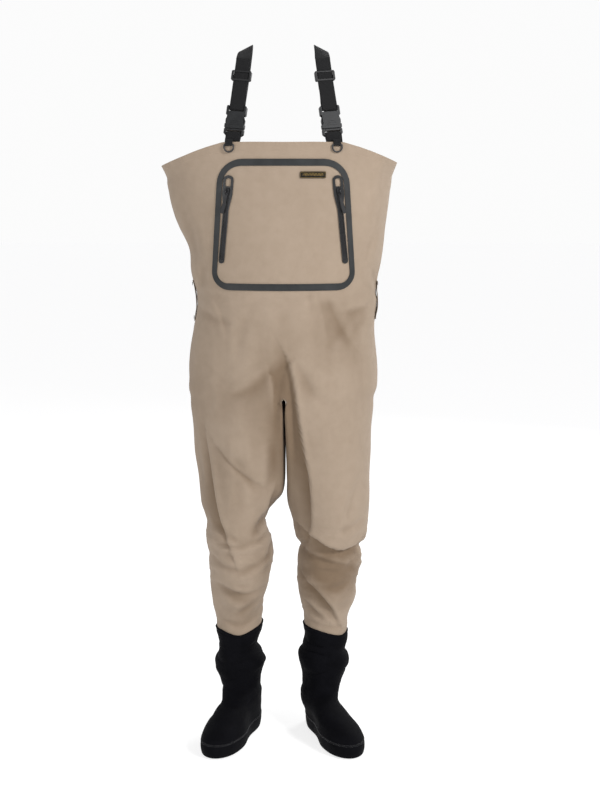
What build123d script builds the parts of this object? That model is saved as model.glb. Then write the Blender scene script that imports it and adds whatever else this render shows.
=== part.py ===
from build123d import *
import math
import os

# Stockingfoot chest waders, drawn as worn: millimetres, +Z up, the front faces -Y and the
# wearer's left is +X. The origin is on the floor, under the middle of the whole object.
# Everything is drawn for the wearer's left side and mirrored about the YZ plane.

# ---------------------------------------------------------------- driving dimensions
FABRIC = 3.0            # wall of the laminated shell fabric, drawn thick enough to be solid
TAPE = 0.8              # thickness of a welded or glued tape
CLEAR = 0.2             # gap between layers that lie on each other
SEAM_GAP = 0.25         # half of the gap between two panels that meet at a seam
LEG_GAP = 2.0           # half of the gap between the thighs where the legs touch
SEAM_TAPE = 22.0        # width of the tape glued over a seam inside
LEG_MIDDLE = 91.0       # between a leg's side seam and its inseam
OVAL_POINTS = 12        # points that a spline runs through to make an oval
HEM = 20.0              # depth of the taped hem along the top edge

TOP_Z = 1236.0          # top edge at the middle of the chest
WAIST_Z = 940.0         # the bib is straight from here up
CROTCH_Z = 730.0
ANKLE_Z = 234.0         # where the fabric leg is joined to the neoprene sock
CENTRE_Y = 24.0         # the torso's middle, front to back

# Height, centre x, half width, centre y and half depth of the garment's outer surface
TORSO = [
    (TOP_Z + 6, 0, 251, CENTRE_Y, 118),
    (WAIST_Z, 0, 184, CENTRE_Y, 118),
    (865, 0, 186, CENTRE_Y, 119),
    (765, 0, 193, CENTRE_Y, 122),
    (CROTCH_Z, 0, 190, CENTRE_Y, 122),
]
LEG = [
    (700, 18, 169, 24, 119),
    (660, 44, 138, 25, 112),
    (607, 68, 111, 26, 104),
    (554, 83, 91, 27, 96),
    (520, 88, 85, 28, 92),
    (501, 91, 81, 29, 90),
    (458, 95, 72, 30, 84),
    (426, 94, 69, 31, 80),
    (404, 91, 64, 33, 76),
    (383, 91, 65, 35, 76),
    (339, 90, 61, 39, 71),
    (285, 90, 53, 45, 62),
    (242, 87, 46, 49, 53),
    (ANKLE_Z, 86, 45, 50, 51),
]

# Top edge seen from the front: distance from the middle, and height
FRONT_EDGE = [(0, 1236), (118, 1236), (155, 1229), (243, 1196)]
BACK_EDGE = [(0, 1226), (150, 1222), (243, 1196)]

# Chest pocket, seen from the front
POCKET_TOP, POCKET_BOTTOM = 1205.0, 946.0
POCKET_HALF_TOP, POCKET_HALF_BOTTOM = 128.0, 144.5
POCKET_TOP_R, POCKET_BOTTOM_R = 52.0, 36.0
POCKET_PANEL = 1.5
BORDER_WIDTH = 13.5     # of the welded border, at its top and bottom
BORDER_SIDE = 10.2      # seen from the front, where the bib turns away
BORDER_INSET = 1.2
LABEL_X, LABEL_Z, LABEL_W, LABEL_H = 58.0, 1173.0, 50.0, 13.0

# Pocket zip: a straight line down the pocket, leaning outwards
ZIP_TOP = (105.5, 1168.0)
ZIP_BOTTOM = (122.0, 1000.0)
ZIP_WIDE, ZIP_NARROW = 20.0, 11.0    # the welded surround, at its top and at its bottom
ZIP_CHAIN = 6.4
ZIP_TRAVEL = 125.0
ZIP_START, ZIP_STOP = -20.0, 6.0     # the coil's ends, from the zip's top and from its foot
SLIDER_Z = -27.0                     # the slider's middle at rest, from the zip's top
SLIDER_BASE, SLIDER_TOP = 4.3, 7.3   # distances out from the fabric's face
HINGE_OUT = 8.35                     # the puller's hinge bar, out from the fabric's face
PULL_HOLE = -15.5                    # from the hinge bar down to the pull tab's pin
PULL_TILT = 12.0                     # the pull tab hangs this far outwards, in degrees

# Webbing and its hardware
WEB_W, WEB_T = 30.0, 1.4
STRAP_X = 101.0
STRAP_LEAN_IN, STRAP_LEAN_BACK = -0.137, 0.235
STRAP_BEHIND = 7.9                   # the strap lies this far behind the bib's outer face
BUCKLE_W, BUCKLE_T = 40.0, 11.0
LOOP_R = 2.7                         # middle of the webbing's turn round a buckle bar
MALE_LOW, MALE_TOP = 13.0, 27.0      # distances up the strap from the bib's edge
FEMALE_TOP = 73.0
MALE_SLOT, FEMALE_SLOT = (18.5, 23.5), (61.0, 67.5)   # where the webbing goes through
MALE_TURN, FEMALE_TURN = 18.2, 67.2  # middles of the webbing's turns
SOCKET_END = 58.0                    # how far up the female buckle is hollow
TRI_MID, TRI_H = 133.5, 20.0
TRI_BAR, TRI_BAR_R = 4.0, 1.1        # its middle bar, behind the strap's front layer
STRAIGHT_END = 168.0
ARM_X, ARM_ROOT, ARM_R = 11.5, 29.6, 2.2   # the round root that a latch arm bends about
ELASTIC_T = 1.8
TAB_W, TAB_T = 14.0, 1.0             # the webbing tab that holds the D-ring
RING_WIRE, RING_W, RING_H = 3.0, 19.0, 14.0   # the D-ring's wire, and its centre line
RING_OUT, RING_DROP = 3.1, 5.0       # the D-ring's bar, out from the fabric and below the edge

# Belt loops
BELT_Z, BELT_LOOP_H, BELT_LOOP_W, BELT_STAND = 920.0, 78.0, 22.0, 6.5

# Neoprene sock: height, centre y, half width and half depth of its outer surface
NEOPRENE = 4.5
SOLE = 5.0
FOOT_X, FOOT_Y, SPLAY = 86.0, 50.0, 12.0
SOCK = [
    (0, -72, 45, 122),
    (14, -73, 48, 128),
    (34, -71, 47, 125),
    (52, -59, 44, 111),
    (68, -43, 41, 92),
    (84, -24, 39, 70),
    (99, -8, 38, 53),
    (115, -2, 39, 48),
    (132, 0, 41, 49),
    (165, 1, 47, 55),
    (198, 0, 43, 50),
    (ANKLE_Z - 0.5, 0, 44.5, 50.5),
]
HEEL_NARROWING = 0.16


def save(name, shape):
    shape.label = name
    export_step(shape, f"parts/{name}.step")


def save_pair(name, shape):
    """The wearer's left piece and its mirror image on the right."""
    save(f"{name}_left", shape)
    save(f"{name}_right", mirror(shape, about=Plane.YZ))


def oval(z, xc, rx, yc, ry, narrowing=0.0):
    """A closed oval face at height z, narrower towards the back where asked."""
    points = []
    for step in range(OVAL_POINTS):
        turn = math.tau * step / OVAL_POINTS
        half = rx * (1 - narrowing * (1 + math.sin(turn)) / 2)
        points.append((xc + half * math.cos(turn), yc + ry * math.sin(turn), z))
    return make_face(Spline(points, periodic=True))


def body_loft(rows, offset):
    """The garment's outer surface moved outwards by offset, as a full solid."""
    return loft([oval(z, xc, rx + offset, yc, ry + offset) for z, xc, rx, yc, ry in rows], ruled=True)


def span_box(x0, x1, y0, y1, z0, z1):
    return Pos((x0 + x1) / 2, (y0 + y1) / 2, (z0 + z1) / 2) * Box(x1 - x0, y1 - y0, z1 - z0)


def half_body(offset, middle):
    """The left half of the garment, from the x given, with a flat inner thigh below the crotch."""
    upper = body_loft(TORSO, offset) & span_box(middle, 300, -200, 200, CROTCH_Z, 1300)
    lower = body_loft([TORSO[-1]] + LEG, offset)
    lower = lower & span_box(LEG_GAP - offset, 300, -200, 200, 0, CROTCH_Z)
    return upper + lower


def centre_y(z):
    """The side seam's place, front to back, at a height."""
    rows = TORSO + LEG
    for high, low in zip(rows, rows[1:]):
        if low[0] <= z <= high[0]:
            share = (z - low[0]) / (high[0] - low[0])
            return low[3] + share * (high[3] - low[3])
    return rows[-1][3]


def seam_prism(low_shift, high_shift, x0, x1, z0=200.0, z1=1250.0):
    """What lies between two copies of the side seam's line, moved front to back."""
    heights = [z1] + [row[0] for row in TORSO + LEG if z0 < row[0] < z1] + [z0]
    line = [(centre_y(z) + low_shift, z) for z in heights]
    back = [(centre_y(z) + high_shift, z) for z in reversed(heights)]
    face = make_face(Polyline(line + back, close=True))
    return Pos(x0, 0, 0) * extrude(Plane.YZ * face, amount=x1 - x0)


def above_edge(edge, drop=0.0):
    """Everything above the top edge, as seen from the front, over the whole depth."""
    right = [(x, z - drop) for x, z in edge]
    left = [(-x, z - drop) for x, z in reversed(edge[1:])]
    outline = [(-400, left[0][1])] + left + right + [(400, right[-1][1]), (400, 1400), (-400, 1400)]
    face = make_face(Polyline(outline, close=True))
    return extrude(Plane.XZ * face, amount=400, both=True)


def surface_y(x, z, offset=0.0, side=-1):
    """Where the bib's outer surface is at x and z: side -1 is the front, 1 the back."""
    high, low = TORSO[0], TORSO[1]
    share = (z - low[0]) / (high[0] - low[0])
    rx = low[2] + share * (high[2] - low[2]) + offset
    ry = low[4] + share * (high[4] - low[4]) + offset
    return CENTRE_Y + side * ry * math.sqrt(1 - (x / rx) ** 2)


def surface_turn(x, z, side=-1):
    """The angle, in degrees, that the bib's surface has turned from facing straight ahead."""
    step = 0.5
    rise = surface_y(x + step, z, 0, side) - surface_y(x - step, z, 0, side)
    return math.degrees(math.atan2(rise, 2 * step))


def ribbon(points, across, width, thick):
    """A flat strip through the points, with its width along the across vectors."""
    sections = []
    last = len(points) - 1
    for index, point in enumerate(points):
        along = Vector(*points[min(index + 1, last)]) - Vector(*points[max(index - 1, 0)])
        along = along.normalized()
        wide = Vector(*(across[index] if isinstance(across, list) else across))
        wide = (wide - along * wide.dot(along)).normalized()
        plane = Plane(origin=point, x_dir=wide, z_dir=along)
        sections.append(plane * Rectangle(width, thick))
    return loft(sections, ruled=True)


def turn_points(centre, radius, start, end, steps=8):
    """Points on an arc, in degrees, in a strip's own side view."""
    points = []
    for step in range(steps + 1):
        angle = math.radians(start + (end - start) * step / steps)
        points.append((centre[0] + radius * math.cos(angle), centre[1] + radius * math.sin(angle)))
    return points


# ---------------------------------------------------------------- shell fabric
def make_shell():
    outer = half_body(0, SEAM_GAP)
    cavity = half_body(-FABRIC, -1)
    shell = outer - cavity
    front = shell & seam_prism(-300, -SEAM_GAP, 0, 300)
    back = shell & seam_prism(SEAM_GAP, 300, 0, 300)
    save_pair("front_panel", front - above_edge(FRONT_EDGE))
    save_pair("back_panel", back - above_edge(BACK_EDGE))

    lined = half_body(-FABRIC - CLEAR, SEAM_GAP) - half_body(-FABRIC - CLEAR - TAPE, -1)
    half = SEAM_TAPE / 2
    side = lined & seam_prism(-half, half, LEG_MIDDLE, 300, ANKLE_Z + 14, 1196 - HEM - 4)
    save_pair("side_seam_tape", side)
    inseam = lined & seam_prism(-half, half, 0, LEG_MIDDLE, ANKLE_Z + 14, CROTCH_Z - 1)
    save_pair("inseam_tape", inseam)

    full = body_loft(TORSO, -FABRIC - CLEAR) - body_loft(TORSO, -FABRIC - CLEAR - TAPE)
    low, high = CROTCH_Z + FABRIC + 1, TOP_Z - HEM - 2
    save("front_seam_tape", full & span_box(-half, half, -200, CENTRE_Y, low, high))
    save("back_seam_tape", full & span_box(-half, half, CENTRE_Y, 200, low, high - 10))
    front_hem = above_edge(FRONT_EDGE, HEM) - above_edge(FRONT_EDGE, 1)
    back_hem = above_edge(BACK_EDGE, HEM) - above_edge(BACK_EDGE, 1)
    save_pair("front_hem_tape", lined & seam_prism(-300, -SEAM_GAP, 0, 300, 1100) & front_hem)
    save_pair("back_hem_tape", lined & seam_prism(SEAM_GAP, 300, 0, 300, 1100) & back_hem)

    reach = TORSO[-1][4] - FABRIC - 2
    save("crotch_gusset", span_box(-15, 15, CENTRE_Y - reach, CENTRE_Y + reach,
                                   CROTCH_Z + 0.05, CROTCH_Z + FABRIC))


# ---------------------------------------------------------------- chest pocket
def bib_layer(low, high):
    """A layer on the left half of the bib, between two distances from the fabric."""
    rows = TORSO[:2]
    return (body_loft(rows, high) - body_loft(rows, low)) & span_box(0, 300, -200, 200, 900, 1300)


def both_halves(shape):
    return shape + mirror(shape, about=Plane.YZ)


def pocket_face(inset, side_inset):
    """The pocket's outline seen from the front, moved inwards."""
    top, bottom = POCKET_HALF_TOP - side_inset, POCKET_HALF_BOTTOM - side_inset
    corners = [(-top, POCKET_TOP - inset), (top, POCKET_TOP - inset),
               (bottom, POCKET_BOTTOM + inset), (-bottom, POCKET_BOTTOM + inset)]
    face = make_face(Polyline(corners, close=True))
    upper = face.vertices().sort_by(Axis.Y)[2:]
    face = fillet(upper, POCKET_TOP_R - inset)
    lower = face.vertices().sort_by(Axis.Y)[:2]
    return fillet(lower, POCKET_BOTTOM_R - inset)


def punch(face, reach=150.0):
    """A face drawn in the front view, run through the front of the bib."""
    return extrude(Plane.XZ * face, amount=reach)


def zip_lean():
    return math.degrees(math.atan2(ZIP_BOTTOM[0] - ZIP_TOP[0], ZIP_TOP[1] - ZIP_BOTTOM[1]))


def zip_plan(shape):
    """Places a face drawn down the zip's own line, from its top, into the front view."""
    return Pos(*ZIP_TOP) * Rot(0, 0, zip_lean()) * shape


def make_pocket():
    panel = bib_layer(CLEAR, CLEAR + POCKET_PANEL) & punch(pocket_face(0, 0))
    save("chest_pocket_panel", both_halves(panel))
    base = 2 * CLEAR + POCKET_PANEL
    cover = bib_layer(base, base + TAPE)
    inner = pocket_face(BORDER_INSET + BORDER_WIDTH, BORDER_INSET + BORDER_SIDE)
    ring = pocket_face(BORDER_INSET, BORDER_INSET) - inner
    save("pocket_border_tape", both_halves(cover & punch(ring)))
    label = Pos(LABEL_X, LABEL_Z) * RectangleRounded(LABEL_W, LABEL_H, 2)
    save("label_patch", cover & punch(label))

    length = math.dist(ZIP_TOP, ZIP_BOTTOM)
    wide, narrow = ZIP_WIDE / 2, ZIP_NARROW / 2
    surround = make_face(Polyline([(-wide, 4), (wide, 4), (wide, -34), (narrow, -62),
                                   (narrow, -length), (-narrow, -length), (-narrow, -62),
                                   (-wide, -34)], close=True))
    surround = fillet(surround.vertices(), 5)
    run = length + ZIP_START - ZIP_STOP
    middle = Pos(0, ZIP_START - run / 2)
    slit = middle * Rectangle(ZIP_CHAIN + 0.6, run)
    garage = Pos(0, -9.5) * RectangleRounded(10, 16, 3)
    save_pair("zip_surround", cover & punch(zip_plan(surround - slit - garage)))
    chain = middle * Rectangle(ZIP_CHAIN, run - 0.6)
    save_pair("zip_chain", bib_layer(base, base + 1.2) & punch(zip_plan(chain)))


def zip_plane():
    """The zip's own frame: Z up its line, X across it, Y into the body, on the fabric's face."""
    top = Vector(ZIP_TOP[0], surface_y(*ZIP_TOP), ZIP_TOP[1])
    foot = Vector(ZIP_BOTTOM[0], surface_y(*ZIP_BOTTOM), ZIP_BOTTOM[1])
    up = (top - foot).normalized()
    middle = ((ZIP_TOP[0] + ZIP_BOTTOM[0]) / 2, (ZIP_TOP[1] + ZIP_BOTTOM[1]) / 2)
    turn = math.radians(surface_turn(*middle))
    across = Vector(math.cos(turn), math.sin(turn), 0)
    across = (across - up * across.dot(up)).normalized()
    return Plane(origin=top, x_dir=across, z_dir=up)


def plate(face, out_low, out_high):
    """A face drawn in a strip's own front view, as a plate between two distances outwards."""
    return Pos(0, -out_low, 0) * extrude(Plane.XZ * face, amount=out_high - out_low)


def make_zip_pull():
    place = zip_plane().location
    at = Pos(0, 0, SLIDER_Z)
    outline = make_face(Polyline([(-4.8, 6), (4.8, 6), (4.8, -1), (3.2, -7), (-3.2, -7),
                                  (-4.8, -1)], close=True))
    base = plate(fillet(outline.vertices(), 1.4), SLIDER_BASE, SLIDER_TOP)
    base = chamfer(base.faces().sort_by(Axis.Y)[0].edges(), 0.6)
    arch = Pos(0, -SLIDER_TOP, 0) * (Rot(0, 90, 0) * Cylinder(4.4, 2.2))
    arch = arch - Pos(0, -SLIDER_TOP, 0) * (Rot(0, 90, 0) * Cylinder(2.6, 4))
    arch = arch & span_box(-3, 3, -20, -SLIDER_TOP, -10, 10)
    save_pair("zip_slider", place * at * (base + arch))

    hinge = Pos(0, -HINGE_OUT, 0)
    rails = RectangleRounded(6.4, 9, 1.2) - RectangleRounded(3.2, 6.4, 0.8)
    tail = Pos(0, -12.4) * SlotOverall(9, 5.6, rotation=90)
    face = Pos(0, -3.7) * rails + tail - Pos(0, PULL_HOLE) * Circle(1.35)
    blade = Pos(0, 0.7, 0) * extrude(Plane.XZ * face, amount=1.4)
    bar = Rot(0, 90, 0) * Cylinder(0.75, 6.4)
    save_pair("zip_puller", place * at * hinge * (blade + bar))

    grip = Pos(0, -17) * SlotOverall(24, 8, rotation=90)
    tab = Pos(0, 2, 0) * extrude(Plane.XZ * grip, amount=4)
    tab = fillet(tab.faces().filter_by(Axis.Y).edges(), 1.2)
    ears = Pos(0, -2.6) * SlotOverall(10.4, 5.2, rotation=90)
    tab = tab + Pos(0, 1.8, 0) * extrude(Plane.XZ * ears, amount=3.6)
    gap = Pos(0, 0.85, 0) * extrude(Plane.XZ * (Circle(3.3) + Pos(0, 4) * Rectangle(6.6, 8)), amount=1.7)
    tab = tab - gap + Rot(90, 0, 0) * Cylinder(1.15, 3.4)
    tilt = Rot(0, -PULL_TILT, 0)
    save_pair("zip_pull_tab", place * at * hinge * Pos(0, 0, PULL_HOLE) * tilt * tab)


# ---------------------------------------------------------------- straps and buckles
def strap_plane():
    """The strap's own frame at the bib's edge: Z up the strap, X across it, Y into the body."""
    turn = math.radians(surface_turn(STRAP_X, TOP_Z))
    edge = Vector(STRAP_X, surface_y(STRAP_X, TOP_Z), TOP_Z)
    inwards = Vector(-math.sin(turn), math.cos(turn), 0)
    up = Vector(STRAP_LEAN_IN, STRAP_LEAN_BACK, 1).normalized()
    across = Vector(math.cos(turn), math.sin(turn), 0)
    across = (across - up * across.dot(up)).normalized()
    return Plane(origin=edge + inwards * STRAP_BEHIND, x_dir=across, z_dir=up)


def on_strap(points):
    """Side-view points (depth, distance up the strap) in space; below the edge they drop down."""
    plane = strap_plane()
    placed = []
    for depth, up in points:
        climb = plane.z_dir * up if up > 0 else Vector(0, 0, up)
        placed.append(plane.origin + plane.y_dir * depth + climb)
    return placed


def strap_box(x0, x1, y0, y1, z0, z1):
    return span_box(x0, x1, LOOP_R + y0, LOOP_R + y1, z0, z1)


def rounded_block(outline, depth, bevel):
    """A buckle's body: a front-view outline with its front and back edges bevelled."""
    block = Pos(0, LOOP_R + depth / 2, 0) * extrude(Plane.XZ * outline, amount=depth)
    return chamfer(block.faces().filter_by(Axis.Y).edges(), bevel)


def make_buckle():
    place = strap_plane().location
    wide, deep = BUCKLE_W / 2, BUCKLE_T / 2
    slot = WEB_W / 2 + 1

    outline = make_face(Polyline([(-wide, MALE_TOP + 0.3), (wide, MALE_TOP + 0.3),
                                  (wide, FEMALE_TOP), (-wide, FEMALE_TOP)], close=True))
    female = rounded_block(fillet(outline.vertices(), 3), BUCKLE_T, 1.0)
    for side in (-1, 1):
        notch = Pos(side * (wide + 1), 45.5) * RectangleRounded(8, 19, 2.4)
        female = female - extrude(Plane.XZ * notch, amount=20, both=True)
    female = female - strap_box(-17.5, 17.5, -3.2, 3.2, 20, SOCKET_END)
    female = female - strap_box(-slot, slot, -10, 10, *FEMALE_SLOT)
    for face in (-10, 1.9):
        female = female - strap_box(-slot, slot, face, face + 8.1, 66, 80)
    for step in range(3):
        female = female - strap_box(-9, 9, -deep, -deep + 0.5, 33 + 4 * step, 34.6 + 4 * step)
    save_pair("buckle_female", place * female)

    outline = make_face(Polyline([(-wide, MALE_TOP), (wide, MALE_TOP), (wide, MALE_LOW + 4),
                                  (wide - 4, MALE_LOW), (4 - wide, MALE_LOW),
                                  (-wide, MALE_LOW + 4)], close=True))
    male = rounded_block(fillet(outline.vertices(), 1.6), 9, 0.8)
    male = male - strap_box(-slot, slot, -10, 10, *MALE_SLOT)
    for face in (-10, 1.9):
        male = male - strap_box(-slot, slot, face, face + 8.1, 0, 19)
    tongue = Pos(0, 39) * RectangleRounded(9, 25, 2)
    male = male + Pos(0, LOOP_R + 1.5, 0) * extrude(Plane.XZ * tongue, amount=3)
    save_pair("buckle_male", place * male)

    arm = make_face(Polyline([(9.5, ARM_ROOT), (13.5, ARM_ROOT), (14.6, 36.8), (19.2, 38), (19.6, 45),
                              (17.2, 52), (13.5, 56.6), (10.5, 55.5), (10.8, 46), (10.4, 36)],
                             close=True))
    arm = fillet(arm.vertices().sort_by(Axis.Y)[2:], 0.8) + Pos(ARM_X, ARM_ROOT) * Circle(ARM_R)
    arm = Pos(0, LOOP_R + 2.9, 0) * extrude(Plane.XZ * arm, amount=5.8)
    save_pair("buckle_arm_outer", place * arm)
    save_pair("buckle_arm_inner", place * mirror(arm, about=Plane.YZ))


def make_tri_glide():
    wide, tall = BUCKLE_W / 2, TRI_H / 2
    slot = WEB_W / 2 + 0.8
    frame = Pos(0, 5.2, 0) * extrude(Plane.XZ * RectangleRounded(2 * wide, 2 * tall, 3), amount=8)
    frame = chamfer(frame.faces().filter_by(Axis.Y).edges(), 0.8)
    frame = frame - span_box(-slot, slot, -20, 20, 3 - tall, tall - 3)
    frame = frame - span_box(-slot, slot, -0.9, 10, -20, 20)
    frame = frame + Pos(0, TRI_BAR, 0) * (Rot(0, 90, 0) * Cylinder(TRI_BAR_R, 2 * slot + 2))
    save_pair("tri_glide", strap_plane().location * Pos(0, 0, TRI_MID) * frame)


# Over the shoulder and down the back: x, y, z, then turn and roll of the strap's width
OVER_SHOULDER = [
    (76.2, -15, 1411.5, 8, 12),
    (74.8, 4, 1420.5, 5, 24),
    (74.0, 22, 1423, 0, 28),
    (75.0, 41, 1420.5, -3, 26),
    (77.5, 59, 1412, -5, 18),
    (80.5, 75, 1398.5, -7, 10),
    (84.0, 90, 1378.5, -9, 5),
    (88.5, 103.5, 1353, -11, 2),
    (93.5, 115, 1325, -12, 0),
]
# The elastic's lower end: x, z, and how far it stands off the back panel
DOWN_BACK = [(100.5, 1287, -6.6), (106.5, 1250, -0.9), (108, 1228, 0.5), (108, 1190, 0.5), (108, 1150, 0.5)]


def width_vector(turn, roll):
    turn, roll = math.radians(turn), math.radians(roll)
    return (math.cos(turn) * math.cos(roll), math.sin(turn), -math.sin(roll))


def make_strap():
    route = turn_points((TRI_BAR, TRI_MID), LOOP_R - 0.3, 0, 180)
    tail = [(3.2, 104), (3.2, 112), (3.4, 121), (5.4, 127), (6.4, TRI_MID - 1)]
    inner = [(1.6, TRI_MID - 2), (1.6, 104), (2.4, 92), (5.5, 80)]
    route = tail + route + inner
    route = route + turn_points((LOOP_R, FEMALE_TURN), LOOP_R, 0, -180)
    route = route + [(0, up) for up in (80, 100, TRI_MID, 150, STRAIGHT_END)]
    points = on_strap(route)
    plane = strap_plane()
    across = [plane.x_dir] * len(points)
    for x, y, z, turn, roll in OVER_SHOULDER:
        points.append(Vector(x, y, z))
        across.append(Vector(*width_vector(turn, roll)))
    save_pair("strap_webbing", ribbon(points, across, WEB_W, WEB_T))

    points, across = [], []
    for x, y, z, turn, roll in OVER_SHOULDER[-2:]:
        points.append(Vector(x, y + 2.0, z + 1.0))
        across.append(Vector(*width_vector(turn, roll)))
    stand = CLEAR + ELASTIC_T / 2
    for x, z, out in DOWN_BACK:
        height = min(z, TOP_Z)
        points.append(Vector(x, surface_y(x, height, stand, 1) + out, z))
        across.append(Vector(*width_vector(surface_turn(x, height, 1), 0)))
    save_pair("strap_elastic", ribbon(points, across, WEB_W, ELASTIC_T))

    route = [(0, -38), (0, -20), (0, 0), (0, 8), (0, 14)]
    route = route + turn_points((LOOP_R, MALE_TURN), LOOP_R, 180, 0)
    route = route + [(5.4, 13), (3.4, 6), (1.7, 1), (1.7, -20), (1.7, -38)]
    save_pair("strap_anchor", ribbon(on_strap(route), plane.x_dir, WEB_W, WEB_T))


def edge_plane():
    """The bib's edge under the strap: X along the edge, Y into the body, Z up, outer face at 0."""
    x = STRAP_X + 4
    turn = math.radians(surface_turn(x, TOP_Z))
    return Plane(origin=(x, surface_y(x, TOP_Z), TOP_Z),
                 x_dir=(math.cos(turn), math.sin(turn), 0), z_dir=(0, 0, 1))


def make_ring():
    plane = edge_plane()
    bar_r = RING_WIRE / 2 + 0.15 + TAB_T / 2
    route = [(5.1, -26), (5.1, 0.8)]
    route = route + turn_points((2.15, 0.8), 2.95, 0, 180)[1:]
    route = route + turn_points((-RING_OUT, -RING_DROP), bar_r, 0, -180)
    route = route + [(-RING_OUT - bar_r + 0.4, -2.5)]
    route = route + turn_points((2.15, 0.8), 4.25, 176, 0) + [(6.4, -26)]
    points = [plane.origin + plane.y_dir * depth + plane.z_dir * up for depth, up in route]
    save_pair("ring_tab", ribbon(points, plane.x_dir, TAB_W, TAB_T))

    half = RING_W / 2
    path = FilletPolyline((-half, 0), (half, 0), (half, -RING_H), (-half, -RING_H),
                          radius=[2.0, 2.0, half - 0.2, half - 0.2], close=True)
    path = Plane.XZ * path
    start = Plane(origin=(0, 0, 0), z_dir=(1, 0, 0))
    ring = sweep(start * Circle(RING_WIRE / 2), path=path)
    save_pair("d_ring", plane.location * Pos(0, -RING_OUT, -RING_DROP) * ring)


def make_belt_loops():
    half = BELT_LOOP_H / 2
    profile = [(1.0, half), (1.0, half - 8), (3.2, half - 11), (BELT_STAND, half - 14),
               (BELT_STAND, 14 - half), (3.2, 11 - half), (1.0, 8 - half), (1.0, -half)]
    points = [Vector(waist_x(BELT_Z + up) + out, CENTRE_Y, BELT_Z + up) for out, up in profile]
    save_pair("belt_loop", ribbon(points, (0, 1, 0), BELT_LOOP_W, WEB_T))
    back_y = CENTRE_Y + TORSO[1][4] + 0.6
    points = [Vector(0, back_y + out, BELT_Z + up) for out, up in profile]
    save("belt_loop_back", ribbon(points, (1, 0, 0), BELT_LOOP_W, WEB_T))


def waist_x(z):
    """How far out the waist's side is at a height."""
    top, waist, hip = TORSO[:3]
    high, low = (top, waist) if z > waist[0] else (waist, hip)
    return low[2] + (z - low[0]) / (high[0] - low[0]) * (high[2] - low[2])


# ---------------------------------------------------------------- neoprene socks
def sock_solid(offset, low, high):
    rows = [(z, 0, rx + offset, yc, ry + offset, HEEL_NARROWING * max(0.0, 1 - z / 110))
            for z, yc, rx, ry in SOCK]
    solid = loft([oval(*row) for row in rows], ruled=True)
    return solid & span_box(-200, 200, -300, 200, low, high)


def make_socks():
    place = Pos(FOOT_X, FOOT_Y, 0) * Rot(0, 0, SPLAY)
    top = ANKLE_Z - 0.5
    upper = sock_solid(0, SOLE + 0.1, top) - sock_solid(-NEOPRENE, SOLE - 1, top + 1)
    save_pair("sock_upper", place * upper)
    save_pair("sock_sole", place * sock_solid(0, 0, SOLE))
    rings = []
    for inset in (NEOPRENE + 0.5, NEOPRENE + 0.5 + TAPE):
        rows = [(z, 0, SOCK[-1][2] - inset - pinch, 0, SOCK[-1][3] - inset - pinch)
                for z, pinch in ((ANKLE_Z - 10, 1.8), (ANKLE_Z + 10, 0))]
        rings.append(loft([oval(*row) for row in rows], ruled=True))
    save_pair("ankle_seam_tape", place * (rings[0] - rings[1]))


os.makedirs("parts", exist_ok=True)
make_shell()
make_pocket()
make_zip_pull()
make_buckle()
make_tri_glide()
make_strap()
make_ring()
make_belt_loops()
make_socks()
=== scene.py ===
import math

import bmesh
import bpy
import numpy as np
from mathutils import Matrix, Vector, geometry
from mathutils.bvhtree import BVHTree


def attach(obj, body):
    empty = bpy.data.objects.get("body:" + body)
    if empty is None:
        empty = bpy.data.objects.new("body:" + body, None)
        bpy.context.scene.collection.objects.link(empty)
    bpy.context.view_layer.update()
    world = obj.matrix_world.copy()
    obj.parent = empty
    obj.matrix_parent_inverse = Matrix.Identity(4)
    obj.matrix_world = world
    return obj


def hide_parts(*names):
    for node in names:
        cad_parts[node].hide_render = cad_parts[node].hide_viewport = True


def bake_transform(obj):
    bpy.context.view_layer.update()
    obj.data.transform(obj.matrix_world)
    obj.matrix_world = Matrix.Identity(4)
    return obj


# Chest waders as worn: +Z up, the front faces -Y, the wearer's left is +X. Blender's lengths are
# metres. Shapes are worked out in millimetres and multiplied by MM when a mesh is written.
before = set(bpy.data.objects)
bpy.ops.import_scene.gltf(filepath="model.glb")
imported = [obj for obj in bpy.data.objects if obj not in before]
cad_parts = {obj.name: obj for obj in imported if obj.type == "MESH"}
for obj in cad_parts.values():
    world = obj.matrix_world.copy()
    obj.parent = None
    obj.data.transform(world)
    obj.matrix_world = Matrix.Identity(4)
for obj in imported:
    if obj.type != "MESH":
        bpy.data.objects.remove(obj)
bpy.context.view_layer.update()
MM = 0.001
SIDES = (("left", 1), ("right", -1))


# ---------------------------------------------------------------- camera, floor and light
def make_camera():
    """At chest height in front of the wearer, tilted down a little."""
    data = bpy.data.cameras.new("camera")
    data.sensor_width = 36.0
    data.lens = 65.8
    data.clip_end = 30.0
    camera = link("camera", data)
    camera.location = (0.033, -2.97, 1.15)
    camera.rotation_euler = (math.radians(90 - 8.3), 0, 0)
    bpy.context.scene.camera = camera


def area_light(name, place, target_height, size, power):
    data = bpy.data.lights.new(name, "AREA")
    data.shape = "DISK"
    data.size = size
    data.energy = power
    light = link(name, data)
    light.location = place
    aim = Vector((0, 0, target_height)) - Vector(place)
    light.rotation_euler = aim.to_track_quat("-Z", "Y").to_euler()


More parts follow.
